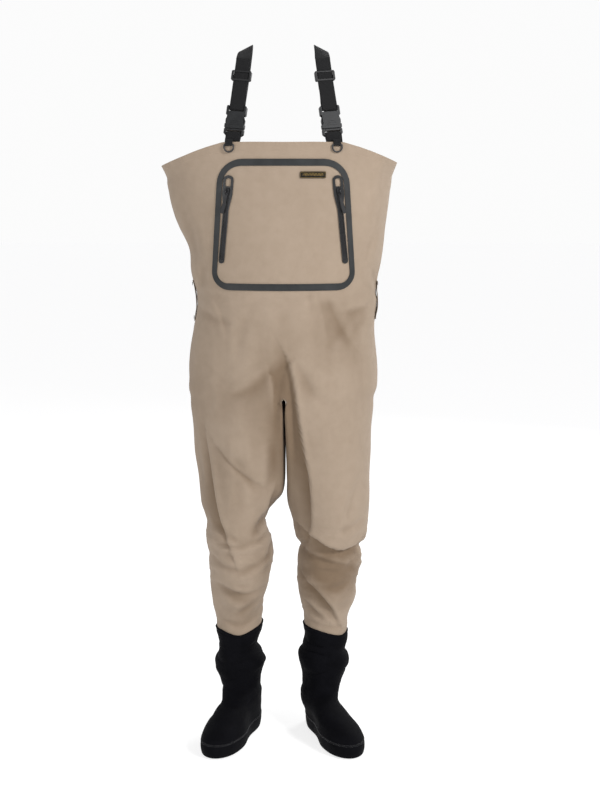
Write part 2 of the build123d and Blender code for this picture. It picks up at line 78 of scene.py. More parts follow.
def make_studio():
    """A pale floor under a soft sky, brightest round the horizon, with a key from the right."""
    world = bpy.data.worlds.new("studio")
    world.use_nodes = True
    tree = world.node_tree
    split = tree.nodes.new("ShaderNodeSeparateXYZ")
    tree.links.new(tree.nodes.new("ShaderNodeTexCoord").outputs["Generated"], split.inputs[0])
    sky = colour_ramp(tree, split.outputs["Z"], (0.97, 0.97, 0.97), (0.40, 0.40, 0.41), 0.12, 0.60)
    tree.links.new(sky, tree.nodes["Background"].inputs["Color"])
    bpy.context.scene.world = world
    bpy.context.scene.view_settings.view_transform = "Standard"
    area_light("key", (2.3, -2.3, 2.5), 0.8, 0.8, 98)
    area_light("fill", (-2.4, -2.8, 1.7), 0.9, 1.6, 30)
    area_light("rim", (1.6, 2.8, 2.2), 0.8, 1.0, 55)

    ends = (-60 / MM, 60 / MM)
    floor = grid_object("floor", np.array([[(x, y, 0) for x in ends] for y in ends]))
    paper = Look("floor", 1.0, 0.1)
    paper.shader["Base Color"].default_value = (0.42, 0.42, 0.42, 1)
    paper.shader["Emission Color"].default_value = (1, 1, 1, 1)
    paper.shader["Emission Strength"].default_value = 0.745
    set_material(floor, paper.material)


# ---------------------------------------------------------------- mesh helpers
def link(name, data):
    thing = bpy.data.objects.new(name, data)
    bpy.context.collection.objects.link(thing)
    return thing


def mesh_object(name, vertices, faces, uvs=None):
    """A smooth-shaded mesh from lengths in mm; uvs gives one pair per vertex."""
    mesh = bpy.data.meshes.new(name)
    mesh.from_pydata([tuple(v) for v in np.asarray(vertices, float) * MM], [], faces)
    mesh.validate()
    if uvs is not None:
        layer = mesh.uv_layers.new(name="UVMap")
        loops = np.empty(len(mesh.loops), int)
        mesh.loops.foreach_get("vertex_index", loops)
        layer.data.foreach_set("uv", (np.asarray(uvs, float) * MM)[loops].ravel())
    mesh.shade_smooth()
    return link(name, mesh)


def grid_faces(rows, columns, closed=False):
    faces = []
    for i in range(rows - 1):
        for j in range(columns if closed else columns - 1):
            a, b = i * columns + j, i * columns + (j + 1) % columns
            faces.append((a, b, b + columns, a + columns))
    return faces


def grid_object(name, points, closed=False, uvs=None):
    flat = None if uvs is None else uvs.reshape(-1, 2)
    return mesh_object(name, points.reshape(-1, 3), grid_faces(*points.shape[:2], closed), flat)


def set_material(thing, *materials):
    thing.data.materials.clear()
    for material in materials:
        thing.data.materials.append(material)


def read_vectors(source, what):
    values = np.empty(len(source) * 3)
    source.foreach_get(what, values)
    return values.reshape(-1, 3)


def read_mesh(thing):
    """A mesh's points in mm, and its normals."""
    points = read_vectors(thing.data.vertices, "co") / MM
    return points, read_vectors(thing.data.vertex_normals, "vector")


def write_points(thing, points):
    thing.data.vertices.foreach_set("co", (points * MM).ravel())
    thing.data.update()


def thicken(thing, thick, offset, **settings):
    """Makes a sheet solid: outwards with offset 1, inwards with -1."""
    solid = thing.modifiers.new("thickness", "SOLIDIFY")
    solid.thickness, solid.offset = thick * MM, offset
    for key, value in settings.items():
        setattr(solid, key, value)
    depsgraph = bpy.context.evaluated_depsgraph_get()
    baked = bpy.data.meshes.new_from_object(thing.evaluated_get(depsgraph))
    thing.modifiers.clear()
    thing.data = baked


def sharpen(thing, degrees=50):
    """Smooth shading that stops at sharp edges."""
    limit = math.radians(degrees)
    shape = bmesh.new()
    shape.from_mesh(thing.data)
    for edge in shape.edges:
        edge.smooth = len(edge.link_faces) != 2 or edge.calc_face_angle(0) < limit
    shape.to_mesh(thing.data)
    shape.free()


def finish_piece(thing, slot, *replaced):
    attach(thing, "root")
    if replaced:
        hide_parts(*replaced)


def dress(thing, look, slot, *replaced):
    set_material(thing, LOOKS[look])
    finish_piece(thing, slot, *replaced)


# ---------------------------------------------------------------- number helpers
def step_up(value, low, high):
    """0 below low, 1 above high, smooth between."""
    share = np.clip((value - low) / (high - low), 0, 1)
    return share * share * (3 - 2 * share)


def along_table(table, at):
    """Smooth values from a table whose first column falls; one per further column."""
    rows = np.array(table, float)[::-1]
    keys = rows[:, 0]
    at = np.clip(at, keys[0], keys[-1])
    index = np.clip(np.searchsorted(keys, at, side="right") - 1, 0, len(keys) - 2)
    width = keys[index + 1] - keys[index]
    t = (at - keys[index]) / width
    result = []
    for column in rows[:, 1:].T:
        slopes = np.diff(column) / np.diff(keys)
        knots = np.concatenate([[slopes[0]], (slopes[1:] + slopes[:-1]) / 2, [slopes[-1]]])
        knots[1:-1][slopes[1:] * slopes[:-1] <= 0] = 0
        result.append((1 + 2 * t) * (1 - t) ** 2 * column[index]
                      + t * (1 - t) ** 2 * width * knots[index]
                      + t * t * (3 - 2 * t) * column[index + 1]
                      + t * t * (t - 1) * width * knots[index + 1])
    return result


def side_value(table, at, side):
    """From a table with a column for the wearer's left and one for the right."""
    return along_table(table, at)[0 if side > 0 else 1]


def unit(vectors):
    vectors = np.asarray(vectors, float)
    return vectors / np.linalg.norm(vectors, axis=-1, keepdims=True)


def run_along(points):
    """The length of a line of points up to each point."""
    steps = np.linalg.norm(np.diff(points, axis=0), axis=1)
    return np.concatenate([[0], np.cumsum(steps)])


def sampled(at, run, rows):
    """Rows of values read off at places along a run."""
    return np.stack([np.interp(at, run, column) for column in np.transpose(rows)], -1)


def respace(x, y, count):
    """The same curve in equal steps."""
    run = np.concatenate([[0], np.cumsum(np.hypot(np.diff(x), np.diff(y)))])
    at = np.linspace(0, run[-1], count + 1)
    return np.interp(at, run, x), np.interp(at, run, y)


def lattice_noise(points, scale, seed):
    """Smooth random values between -1 and 1 at points, one lattice cell per scale."""
    values = np.random.default_rng(seed).uniform(-1, 1, (24, 24, 24))
    at = points / scale
    cell = np.floor(at).astype(int)
    part = at - cell
    part = part * part * (3 - 2 * part)
    total = np.zeros(len(points))
    for corner in range(8):
        step = np.array([corner & 1, corner >> 1 & 1, corner >> 2 & 1])
        weight = np.prod(np.where(step, part, 1 - part), axis=1)
        total += weight * values[tuple(((cell + step) % 24).T)]
    return total


def ridges(points, stretch, scale, seed):
    """Creased unevenness, with the lattice stretched by a factor along each axis."""
    return 1 - 2 * np.abs(lattice_noise(points / stretch, scale, seed))


# ---------------------------------------------------------------- materials
def colour_ramp(tree, factor, low, high, start=0.3, end=0.7):
    ramp = tree.nodes.new("ShaderNodeValToRGB")
    for stop, place, colour in zip(ramp.color_ramp.elements, (start, end), (low, high)):
        stop.position = place
        stop.color = (*colour, 1)
    tree.links.new(factor, ramp.inputs["Fac"])
    return ramp.outputs["Color"]


LOOKS = {}


class Look:
    """A material in the making: its methods add nodes and return their outputs."""

    def __init__(self, name, roughness, specular=0.5, sheen=0.0):
        self.material = LOOKS[name] = bpy.data.materials.new(name)
        self.material.use_nodes = True
        self.tree = self.material.node_tree
        self.shader = self.tree.nodes["Principled BSDF"].inputs
        self.shader["Roughness"].default_value = roughness
        self.shader["Specular IOR Level"].default_value = specular
        self.shader["Sheen Weight"].default_value = sheen

    def feed(self, socket, value):
        if isinstance(value, bpy.types.NodeSocket):
            self.tree.links.new(value, socket)
        else:
            socket.default_value = value

    def node(self, kind, **settings):
        node = self.tree.nodes.new(kind)
        for key, value in settings.items():
            if key in node.inputs:
                self.feed(node.inputs[key], value)
            else:
                setattr(node, key, value)
        return node

    def coordinates(self, kind="Object"):
        return self.node("ShaderNodeTexCoord").outputs[kind]

    def math(self, operation, first, second):
        node = self.node("ShaderNodeMath", operation=operation)
        self.feed(node.inputs[0], first)
        self.feed(node.inputs[1], second)
        return node.outputs[0]

    def blend_of(self, first, weight, second, second_weight):
        return self.math("ADD", self.math("MULTIPLY", first, weight),
                         self.math("MULTIPLY", second, second_weight))

    def multiply(self, factor, first, second):
        """One colour darkened by another, by the factor given."""
        node = self.node("ShaderNodeMix", data_type="RGBA", blend_type="MULTIPLY")
        for socket, value in ((0, factor), (6, first), (7, second)):
            self.feed(node.inputs[socket], value)
        return node.outputs[2]

    def noise(self, vector, scale, detail=3.0):
        return self.node("ShaderNodeTexNoise", Vector=vector, Scale=scale, Detail=detail).outputs["Fac"]

    def wave(self, vector, axis, period, distortion=0.0):
        """Bands of the period given, in the units of the coordinate."""
        return self.node("ShaderNodeTexWave", Vector=vector, Scale=math.tau / (20 * period),
                         Distortion=distortion, bands_direction=axis).outputs["Fac"]

    def bump(self, height, distance, strength):
        node = self.node("ShaderNodeBump", Height=height, Strength=strength, Distance=distance)
        if self.shader["Normal"].is_linked:
            self.feed(node.inputs["Normal"], self.shader["Normal"].links[0].from_socket)
        self.feed(self.shader["Normal"], node.outputs["Normal"])

    def paint(self, factor, *colours):
        self.feed(self.shader["Base Color"], colour_ramp(self.tree, factor, *colours))


def fabric(name, dark, light, pitch=0.00045):
    """A tight plain weave on a laminate: fine threads, faint slubs, a mottled dye, and painted shade
    from a point attribute, darker in fold valleys, between the thighs and under the knees.
    """
    look = Look(name, 0.82, 0.25, 0.05)
    uv, place = look.coordinates("UV"), look.coordinates()
    mottle = look.blend_of(look.noise(place, 5.0, 4), 0.6, look.noise(place, 60.0, 3), 0.4)
    dye = colour_ramp(look.tree, mottle, dark, light)
    weave = look.math("MULTIPLY", look.wave(uv, "X", pitch), look.wave(uv, "Y", pitch * 1.15))
    threads = look.blend_of(weave, 0.22, look.noise(uv, 900.0, 2), 0.12)
    shade = colour_ramp(look.tree, threads, (0.84, 0.84, 0.84), (1.06, 1.06, 1.06), 0.0, 0.34)
    # Painted shade: a point attribute darkens the dyed cloth towards a deep tan (0.56, 0.50, 0.43) where
    # shade falls.
    painted_shade = look.node("ShaderNodeAttribute", attribute_name="painted_shade").outputs["Fac"]
    colour = look.multiply(painted_shade, look.multiply(1.0, dye, shade), (0.56, 0.50, 0.43, 1))
    look.feed(look.shader["Base Color"], colour)
    look.bump(weave, 0.00012, 0.5)
    look.bump(look.noise(place, 220.0), 0.0003, 0.25)


def webbing(name, dark, light, rib=0.0016, stripe=0.003):
    """Woven tape: ribs across, with fine warp lines along."""
    look = Look(name, 0.7, 0.22, 0.04)
    uv = look.coordinates("UV")
    warp = look.math("MULTIPLY", look.wave(uv, "X", stripe / 3), 0.5)
    height = look.math("ADD", look.wave(uv, "Y", rib, 0.6), warp)
    look.paint(look.math("MULTIPLY", height, look.noise(uv, 400.0)), dark, light, 0.1, 0.9)
    look.bump(height, 0.0004, 0.8)


def plastic(name, dark, light, roughness=0.42, grain=1400.0, metallic=0.0):
    """Moulded with a fine spark-eroded grain and rubbed patches."""
    look = Look(name, roughness, 0.35)
    look.shader["Metallic"].default_value = metallic
    place = look.coordinates()
    rubbed = look.noise(place, 90.0, 4)
    look.paint(rubbed, dark, light)
    limits = {"To Min": roughness - 0.08, "To Max": roughness + 0.14}
    rough = look.node("ShaderNodeMapRange", Value=rubbed, **limits)
    look.feed(look.shader["Roughness"], rough.outputs[0])
    look.bump(look.noise(place, grain, 2), 0.00006, 0.5)


def film(name, dark, light, roughness=0.5):
    """Heat-welded film over fabric: smooth, faintly dimpled by the weave below."""
    look = Look(name, roughness, 0.3)
    place = look.coordinates()
    look.paint(look.noise(place, 40.0, 4), dark, light)
    dimple = look.node("ShaderNodeTexVoronoi", Vector=place, Scale=1300.0)
    look.bump(dimple.outputs["Distance"], 0.00008, 0.45)
    look.bump(look.noise(place, 160.0), 0.0003, 0.3)


def neoprene(name, dark, light, knit=0.0009):
    """Jersey-faced foam rubber: a fine knit over soft dimples."""
    look = Look(name, 0.78, 0.035, 0.004)
    uv, place = look.coordinates("UV"), look.coordinates()
    look.paint(look.noise(place, 30.0, 4), dark, light)
    loops = look.math("MULTIPLY", look.wave(uv, "Y", knit), look.wave(uv, "X", knit * 0.8))
    look.bump(loops, 0.00015, 0.6)
    look.bump(look.noise(place, 130.0), 0.0006, 0.3)


def sole_rubber(name, dark, light):
    """Dense rubberised neoprene with a lozenge grip."""
    look = Look(name, 0.7)
    place = look.coordinates()
    look.paint(look.noise(place, 35.0, 4), dark, light)
    grip = look.math("MULTIPLY", look.wave(place, "X", 0.006), look.wave(place, "Y", 0.009))
    look.bump(grip, 0.0008, 0.8)
    look.bump(look.noise(place, 700.0, 2), 0.0001, 0.5)


def thread(name, dark, light):
    """Twisted thread: a diagonal ply and uneven dye."""
    look = Look(name, 0.6, sheen=0.2)
    place = look.coordinates()
    look.paint(look.noise(place, 500.0, 2), dark, light)
    look.bump(look.wave(place, "DIAGONAL", 0.0007), 0.0001, 0.6)


def make_looks():
    tans = (0.283, 0.217, 0.158), (0.337, 0.263, 0.198)
    fabric("shell_fabric", *tans)
    fabric("shell_lining", (0.34, 0.30, 0.26), (0.40, 0.36, 0.32), 0.0007)
    fabric("pocket_fabric", *tans, 0.0005)
    film("welded_film", (0.012, 0.0130, 0.0136), (0.021, 0.0225, 0.0235))
    film("zip_surround_film", (0.009, 0.0095, 0.010), (0.016, 0.0165, 0.0175), 0.3)
    film("seam_tape", (0.16, 0.15, 0.145), (0.22, 0.21, 0.20))
    film("zip_coil", (0.006, 0.006, 0.007), (0.014, 0.014, 0.015), 0.25)
    webbing("webbing", (0.003, 0.003, 0.0034), (0.009, 0.009, 0.010))
    webbing("loop_webbing", (0.23, 0.178, 0.130), (0.31, 0.242, 0.182), 0.0014)
    webbing("elastic", (0.008, 0.008, 0.009), (0.026, 0.026, 0.028), 0.0011, 0.005)
    webbing("label_satin", (0.006, 0.006, 0.006), (0.016, 0.015, 0.013), 0.0005, 0.001)
    plastic("buckle_plastic", (0.007, 0.007, 0.008), (0.013, 0.013, 0.014))
    plastic("buckle_socket", (0.006, 0.0065, 0.0075), (0.010, 0.011, 0.0125), 0.4)
    plastic("ring_plastic", (0.016, 0.016, 0.017), (0.030, 0.030, 0.032), 0.35)
    plastic("zip_metal", (0.010, 0.010, 0.011), (0.020, 0.020, 0.022), 0.3, 2600, 0.4)
    plastic("pull_rubber", (0.010, 0.010, 0.011), (0.018, 0.018, 0.019), 0.6, 900)
    neoprene("neoprene", (0.0022, 0.0022, 0.0030), (0.0040, 0.0040, 0.0054))
    sole_rubber("neoprene_sole", (0.008, 0.008, 0.009), (0.017, 0.017, 0.018))
    thread("gold_thread", (0.48, 0.29, 0.05), (0.62, 0.42, 0.10))
    thread("tan_thread", (0.30, 0.22, 0.155), (0.40, 0.30, 0.22))
    thread("grey_thread", (0.03, 0.03, 0.032), (0.06, 0.06, 0.064))
    thread("dark_thread", (0.009, 0.009, 0.011), (0.02, 0.02, 0.024))


# ---------------------------------------------------------------- garment: dimensions in mm
TOP, CROTCH, ANKLE = 1236, 730, 234
MIDDLE_Y, HALF_DEPTH = 24, 118
FABRIC = 3.0
HALF_COLUMNS, INNER_COLUMNS = 112, 54
ROW_STEP = 4.4
# The crotch seam: how far it runs front and back of the middle
SEAM_REACH = 122
# Rows between here and TOP are drawn up or down to follow the shaped top edge
HEM_EASE = 1140.0
# Height, centre x, half width, centre y, half depth
ROWS = [
    (1246, 0, 252, 24, 118), (1000, 0, 197.3, 24, 118), (940, 0, 184, 24, 118),
    (865, 0, 186, 24, 119), (765, 0, 193, 24, 122), (730, 0, 190, 24, 122),
    (700, 18, 169, 24, 119), (660, 44, 138, 25, 112), (607, 68, 111, 26, 104),
    (554, 83, 91, 27, 96), (520, 88, 85, 28, 92), (501, 91, 81, 29, 90),
    (458, 95, 72, 30, 84), (426, 94, 69, 31, 80), (404, 91, 64, 33, 76),
    (383, 91, 65, 35, 76), (339, 90, 61, 39, 71), (285, 90, 53, 45, 62),
    (242, 87, 46, 49, 53), (234, 86, 45, 50, 51),
]
# How far each flank hangs outside those ovals: height, wearer's left, wearer's right
FLANKS = [
    (1246, -21, -3), (1193, -21, -4), (1163, -17, 1), (1123, -13, 4), (1072, -9, -2), (1022, -3, -11),
    (971, 0, -4), (920, 4, -9), (868, -1, -1), (817, -2, 2), (765, -2, 2), (712, -4, 6),
    (660, -4, 5), (607, -3, 3), (554, 0, 2), (501, 3, 2), (458, 5, -5), (426, 9, 0),
    (404, 2, 4), (383, 7, 1), (339, 6, 2), (285, 2, 9), (242, -1, 14), (234, 0, 14),
]
# The same for the inside of each shin, towards the middle
SHINS = [
    (600, 4, 0), (562, 16, 12), (542, 14, 12), (520, 10, 5), (501, 9, -3), (458, 7, -14),
    (426, 2, -4), (404, -6, 4), (383, -3, 3), (339, 2, -2), (285, 4, -6), (242, 0, -4), (234, 0, -4),
]
# The top edge, front and back: distance from the middle, height
FRONT_EDGE = [(0, 1236), (60, 1236.5), (118, 1236), (150, 1227), (174, 1219), (224, 1200), (250, 1190)]
BACK_EDGE = [(0, 1226), (80, 1225), (150, 1220), (200, 1208), (224, 1200), (250, 1190)]


def section(z, steps, side):
    """The outer half of a section, from the front to the back, on one side."""
    xc, rx, yc, ry = along_table(ROWS, z)
    turn = np.linspace(-math.pi / 2, math.pi / 2, steps + 1)
    reach = np.cos(turn)
    flank = side_value(FLANKS, z, side) * step_up(reach, 0.74, 0.98)
    return xc + rx * reach + flank, yc + ry * np.sin(turn)


def inner_section(z, steps, side):
    """The inner half of a leg's section, from the back to the front."""
    xc, rx, yc, ry = along_table(ROWS, z)
    turn = np.linspace(math.pi / 2, 3 * math.pi / 2, steps + 1)
    reach = -np.cos(turn)
    shin = side_value(SHINS, z, side) * step_up(reach, 0.5, 0.95)
    return xc - rx * reach - shin, yc + ry * np.sin(turn)


def ease_into_sock(x, y, z, side):
    """Near the ankle the leg's section turns into the sock's top ring."""
    share = step_up(-z, -305, -246)
    ring_x, ring_y = (sock_ring(SOCK_TOP, side, 0.6, 240) * (side, 1, 1))[:, :2].T
    cx, cy = ring_x.mean(), ring_y.mean()
    turn = np.arctan2(y - cy, x - cx)
    reach = np.interp(turn, np.arctan2(ring_y - cy, ring_x - cx),
                      np.hypot(ring_x - cx, ring_y - cy), period=math.tau)
    return x + share * (cx + reach * np.cos(turn) - x), y + share * (cy + reach * np.sin(turn) - y)


def leg_half(outline, z, columns, side):
    """Half of a leg's ring, held on its own side of the middle with a rounded shoulder."""
    x, y = outline(z, columns * 3, side)
    gap, soft = 0.4 * step_up(CROTCH - z, 0, 30), 1.0 + 9 * step_up(CROTCH - z, 0, 60)
    x = (x + gap + np.sqrt((x - gap) ** 2 + soft * soft)) / 2
    return respace(*ease_into_sock(x, y, z, side), columns)


def edge_height(x, z, edge):
    """The height of points of a top row, drawn to the garment's shaped top edge."""
    share = np.clip((z - HEM_EASE) / (TOP - HEM_EASE), 0, None)
    drawn = HEM_EASE + share * (np.interp(np.abs(x), *zip(*edge)) - HEM_EASE)
    return np.where(z > HEM_EASE, drawn, z)


def levels(top, bottom):
    return np.linspace(top, bottom, round((top - bottom) / ROW_STEP) + 1)


def build_garment():
    """One welded skin: the torso's rings, then a ring round each leg from the crotch down."""
    vertices, faces, uvs = [], [], []
    half = HALF_COLUMNS
    rings = {"torso": [], 1: [], -1: []}

    def add_ring(key, points, along):
        rings[key].append(len(vertices) + np.arange(len(points)))
        vertices.extend(points)
        uvs.extend(np.stack([along, points[:, 2]], 1))

    for z in levels(TOP, CROTCH):
        row, along = [], []
        for side in (1, -1):
            x, y = respace(*section(z, half * 3, side), half)
            run = np.linspace(-0.5, 0.5, half + 1) * np.hypot(np.diff(x), np.diff(y)).sum()
            height = np.where(y < MIDDLE_Y, edge_height(x, z, FRONT_EDGE), edge_height(x, z, BACK_EDGE))
            order = slice(None) if side > 0 else slice(-2, 0, -1)
            row.append(np.stack([side * x, y, height], 1)[order])
            along.append(run[order])
        add_ring("torso", np.concatenate(row), np.concatenate(along))
    crotch = rings["torso"][-1]
    seam = len(vertices) + np.arange(INNER_COLUMNS - 1)
    for y in np.linspace(MIDDLE_Y + SEAM_REACH, MIDDLE_Y - SEAM_REACH, INNER_COLUMNS + 1)[1:-1]:
        vertices.append((0, y, CROTCH - 2))
        uvs.append((y + 300, CROTCH))
    for side in (1, -1):
        outer = crotch[:half + 1] if side > 0 else np.concatenate([crotch[:1], crotch[half:][::-1]])
        rings[side].append(np.concatenate([outer, seam]))
        for z in levels(CROTCH, ANKLE)[1:]:
            x1, y1 = leg_half(section, z, half, side)
            x2, y2 = leg_half(inner_section, z, INNER_COLUMNS, side)
            x, y = np.concatenate([x1, x2[1:-1]]), np.concatenate([y1, y2[1:-1]])
            run = run_along(np.stack([x, y], 1))
            behind = np.arange(len(x)) > half + INNER_COLUMNS // 2
            along = run - run[half] / 2 - np.where(behind, run[-1], 0)
            add_ring(side, np.stack([side * x, y, np.full(len(x), z)], 1), along)
    for key, stack in rings.items():
        for upper, lower in zip(stack, stack[1:]):
            for j in range(len(upper)):
                k = (j + 1) % len(upper)
                quad = (upper[j], lower[j], lower[k], upper[k])
                faces.append(quad[::-1] if key == -1 else quad)
    return mesh_object("waders_shell", vertices, faces, uvs), rings


# ---------------------------------------------------------------- folds, drawn on the garment
# Points down the fold (x, z in mm, seen from the front), then depth, width, one-sidedness
FRONT_FOLDS = [
    ([(9, 790), (-5, 752), (-3, 700)], 5, 9, 0.2),
    ([(30, 800), (60, 745), (95, 715)], 3.5, 14, 0.5),
    ([(-22, 800), (-62, 752), (-110, 735)], 3.5, 14, -0.5),
    ([(49, 1003), (52, 958), (57, 905)], 2.6, 8, 0.4),
    ([(92, 932), (112, 885), (135, 835)], 4.5, 13, 0.5),
    ([(-60, 930), (-85, 880), (-95, 820)], 3.5, 16, -0.4),
    ([(150, 905), (120, 862), (85, 830)], 3.2, 12, 0.4),
    ([(-172, 915), (-138, 890), (-100, 880)], 4.0, 11, 0.6),
    ([(180, 918), (150, 905), (110, 902)], 4.0, 10, -0.6),
    ([(180, 900), (150, 870), (128, 830)], 3.5, 13, 0.5),
    ([(-176, 930), (-168, 960), (-158, 1010)], 4.0, 12, 0.5),
    ([(190, 1064), (176, 1035), (165, 1000)], 3.2, 8, 0.5),
    ([(172, 1000), (178, 975), (186, 950)], 3.2, 8, -0.5),
    ([(-205, 1120), (-182, 1060), (-168, 1005)], 4.0, 16, 0.5),
    ([(-135, 632), (-111, 603), (-84, 578), (-62, 540)], 4.5, 12, -0.6),
    ([(-30, 640), (-24, 590), (-34, 540)], 4.0, 14, -0.6),
    ([(-20, 480), (-42, 462), (-60, 430)], 5.0, 11, 0.7),
    ([(-26, 440), (-50, 420), (-90, 412), (-140, 416)], 4.5, 8, 0.8),
    ([(-150, 470), (-125, 440), (-95, 428)], 4.0, 10, -0.6),
    ([(-152, 395), (-120, 372), (-85, 368)], 3.6, 9, 0.7),
    ([(-30, 382), (-62, 366), (-96, 352)], 3.8, 9, 0.7),
    ([(-140, 330), (-110, 305), (-78, 298)], 3.6, 9, -0.7),
    ([(-46, 300), (-72, 282), (-100, 276)], 3.4, 8, 0.7),
    ([(40, 402), (80, 386), (128, 378)], 5.0, 9, 0.8),
    ([(150, 372), (112, 362), (72, 366)], 4.6, 9, -0.7),
    ([(138, 330), (112, 318), (88, 322)], 3.6, 8, 0.6),
    ([(42, 296), (66, 272), (92, 262)], 4.0, 8, 0.8),
    ([(150, 560), (128, 500), (120, 452)], 4.0, 13, -0.5),
    ([(165, 470), (140, 452), (108, 446)], 4.0, 9, 0.7),
    ([(40, 258), (70, 248), (118, 256)], 2.4, 6, 0.6),
    ([(-46, 262), (-80, 250), (-130, 258)], 2.4, 6, 0.6),
]
# Crisp edges where the cloth turns back: points, depth (signed for the side that drops), width
FRONT_EDGES = [
    ([(8, 812), (14, 800), (23, 755), (33, 666), (41, 616), (51, 571), (55, 526), (58, 458), (50, 436)],
     12, 34),
    ([(14, 800), (2, 782), (-6, 750), (-7, 690), (-3, 640)], 9, 10),
    ([(-26, 776), (-17, 740), (-13, 690), (-10, 630)], -13, 12),
    ([(38, 452), (66, 436), (88, 420), (128, 406), (156, 424)], 11, 46),
    ([(48, 402), (80, 388), (126, 376), (146, 384)], 5, 22),
    ([(36, 348), (74, 314), (106, 285), (116, 262)], 8, 20),
    ([(-158, 655), (-148, 570), (-134, 485), (-118, 440), (-106, 400)], 7, 26),
    ([(-20, 540), (-36, 490), (-26, 430), (-34, 395)], -7, 14),
    ([(-140, 640), (-111, 603), (-84, 578), (-58, 560)], 5, 40),
    ([(-120, 330), (-84, 316), (-56, 322)], 4, 22),
    ([(-150, 935), (-128, 900), (-118, 850)], -3, 26),
    ([(92, 932), (112, 885), (140, 842)], 3.5, 30),
    ([(70, 920), (82, 880), (84, 840)], -2.5, 26),
]
BACK_EDGES = [
    ([(8, 800), (22, 740), (40, 650), (50, 560), (48, 480)], 9, 32),
    ([(-8, 800), (-24, 735), (-44, 640), (-50, 550), (-46, 480)], -9, 32),
    ([(30, 462), (85, 448), (150, 458)], -9, 34),
    ([(-30, 458), (-85, 444), (-150, 452)], 9, 34),
    ([(36, 330), (85, 312), (135, 322)], -6, 24),
    ([(-36, 336), (-85, 316), (-138, 322)], 6, 24),
]
BACK_FOLDS = [
    ([(0, 835), (-4, 780), (0, 735)], 5, 14, 0.1),
    ([(12, 800), (55, 765), (110, 758)], 5, 14, 0.6),
    ([(-12, 795), (-60, 755), (-120, 745)], 5, 14, -0.6),
    ([(20, 760), (45, 700), (55, 620)], 5, 14, 0.6),
    ([(-18, 755), (-48, 690), (-52, 600)], 5, 14, -0.6),
    ([(175, 925), (130, 895), (70, 885), (20, 892)], 4.5, 12, 0.7),
    ([(-176, 920), (-120, 880), (-60, 872)], 4.5, 12, 0.7),
    ([(160, 985), (120, 960), (70, 955)], 3.5, 12, -0.6),
    ([(-160, 1000), (-115, 962), (-50, 950)], 3.5, 12, 0.6),
    ([(-190, 1130), (-150, 1070), (-128, 1000)], 4, 16, 0.5),
    ([(185, 1120), (152, 1065), (138, 1010)], 4, 16, -0.5),
    ([(150, 650), (128, 590), (100, 545)], 5, 13, 0.6),
    ([(-150, 640), (-120, 590), (-100, 530)], 5, 13, -0.6),
    ([(30, 470), (80, 452), (150, 468)], 6, 9, 0.8),
    ([(35, 438), (90, 422), (155, 432)], 6, 9, 0.8),
    ([(28, 405), (80, 396), (140, 398)], 4.5, 8, -0.7),
    ([(-30, 462), (-80, 440), (-150, 455)], 6, 9, 0.8),
    ([(-28, 430), (-80, 412), (-150, 420)], 5.5, 9, 0.8),
    ([(-32, 395), (-90, 380), (-145, 388)], 4.5, 8, -0.7),
    ([(40, 345), (85, 325), (138, 335)], 4.5, 9, 0.7),
    ([(-38, 350), (-85, 322), (-140, 332)], 4.5, 9, 0.7),
    ([(45, 300), (85, 280), (128, 292)], 4, 8, 0.7),
    ([(-45, 296), (-85, 282), (-132, 288)], 4, 8, -0.7),
    ([(48, 266), (88, 256), (124, 262)], 2.6, 6, 0.7),
    ([(-48, 268), (-88, 255), (-128, 262)], 2.6, 6, 0.7),
]


def round_off(points):
    """The same line with its corners cut twice; the ends stay."""
    points = np.array(points, float)
    for _ in range(2):
        cut = [points[:-1] * 0.75 + points[1:] * 0.25, points[:-1] * 0.25 + points[1:] * 0.75]
        cut = np.stack(cut, 1).reshape(-1, 2)[1:-1]
        points = np.concatenate([points[:1], cut, points[-1:]])
    return points


def distance_to(x, z, points):
    """Signed distance to a line of points, and the share of the way along it."""
    nearest = np.full(len(x), 1e9)
    signed, along = np.zeros(len(x)), np.zeros(len(x))
    points = round_off(points)
    spans = np.diff(points, axis=0)
    lengths = np.hypot(spans[:, 0], spans[:, 1])
    done, total = 0.0, lengths.sum()
    for start, span, length in zip(points, spans, lengths):
        dx, dz = x - start[0], z - start[1]
        share = np.clip((dx * span[0] + dz * span[1]) / length ** 2, 0, 1)
        away = np.hypot(dx - share * span[0], dz - share * span[1])
        closer = away < nearest
        nearest = np.where(closer, away, nearest)
        signed = np.where(closer, np.sign(span[0] * dz - span[1] * dx) * away, signed)
        along = np.where(closer, (done + share * length) / total, along)
        done += length
    return signed, along


def fold_depth(x, z, points, depth, width, lean):
    """How far a fold moves the cloth out, at each x and z."""
    signed, along = distance_to(x, z, points)
    t = signed / (width * (0.55 + 0.45 * np.sin(np.pi * along)))
    valley = -np.exp(-(t * 1.2) ** 2)
    roll = 1.6 * t * np.exp(-t * t * 0.8)
    taper = np.sin(np.pi * (along * 0.94 + 0.03)) ** 0.7
    return depth * taper * ((1 - abs(lean)) * valley + lean * roll + 0.35 * abs(lean) * valley)


def edge_depth(x, z, points, depth, width):
    """How far the cloth drops on one side of a crisp edge, easing back over width."""
    signed, along = distance_to(x, z, points)
    away = np.where(depth > 0, -signed, signed)
    drop = step_up(away, -1.0, 5.0) * np.exp(-np.clip(away - 5, 0, None) / width)
    crown = 0.16 * np.exp(-((away + 4) / 7) ** 2)
    return abs(depth) * np.sin(np.pi * (along * 0.9 + 0.05)) ** 0.6 * (crown - drop)


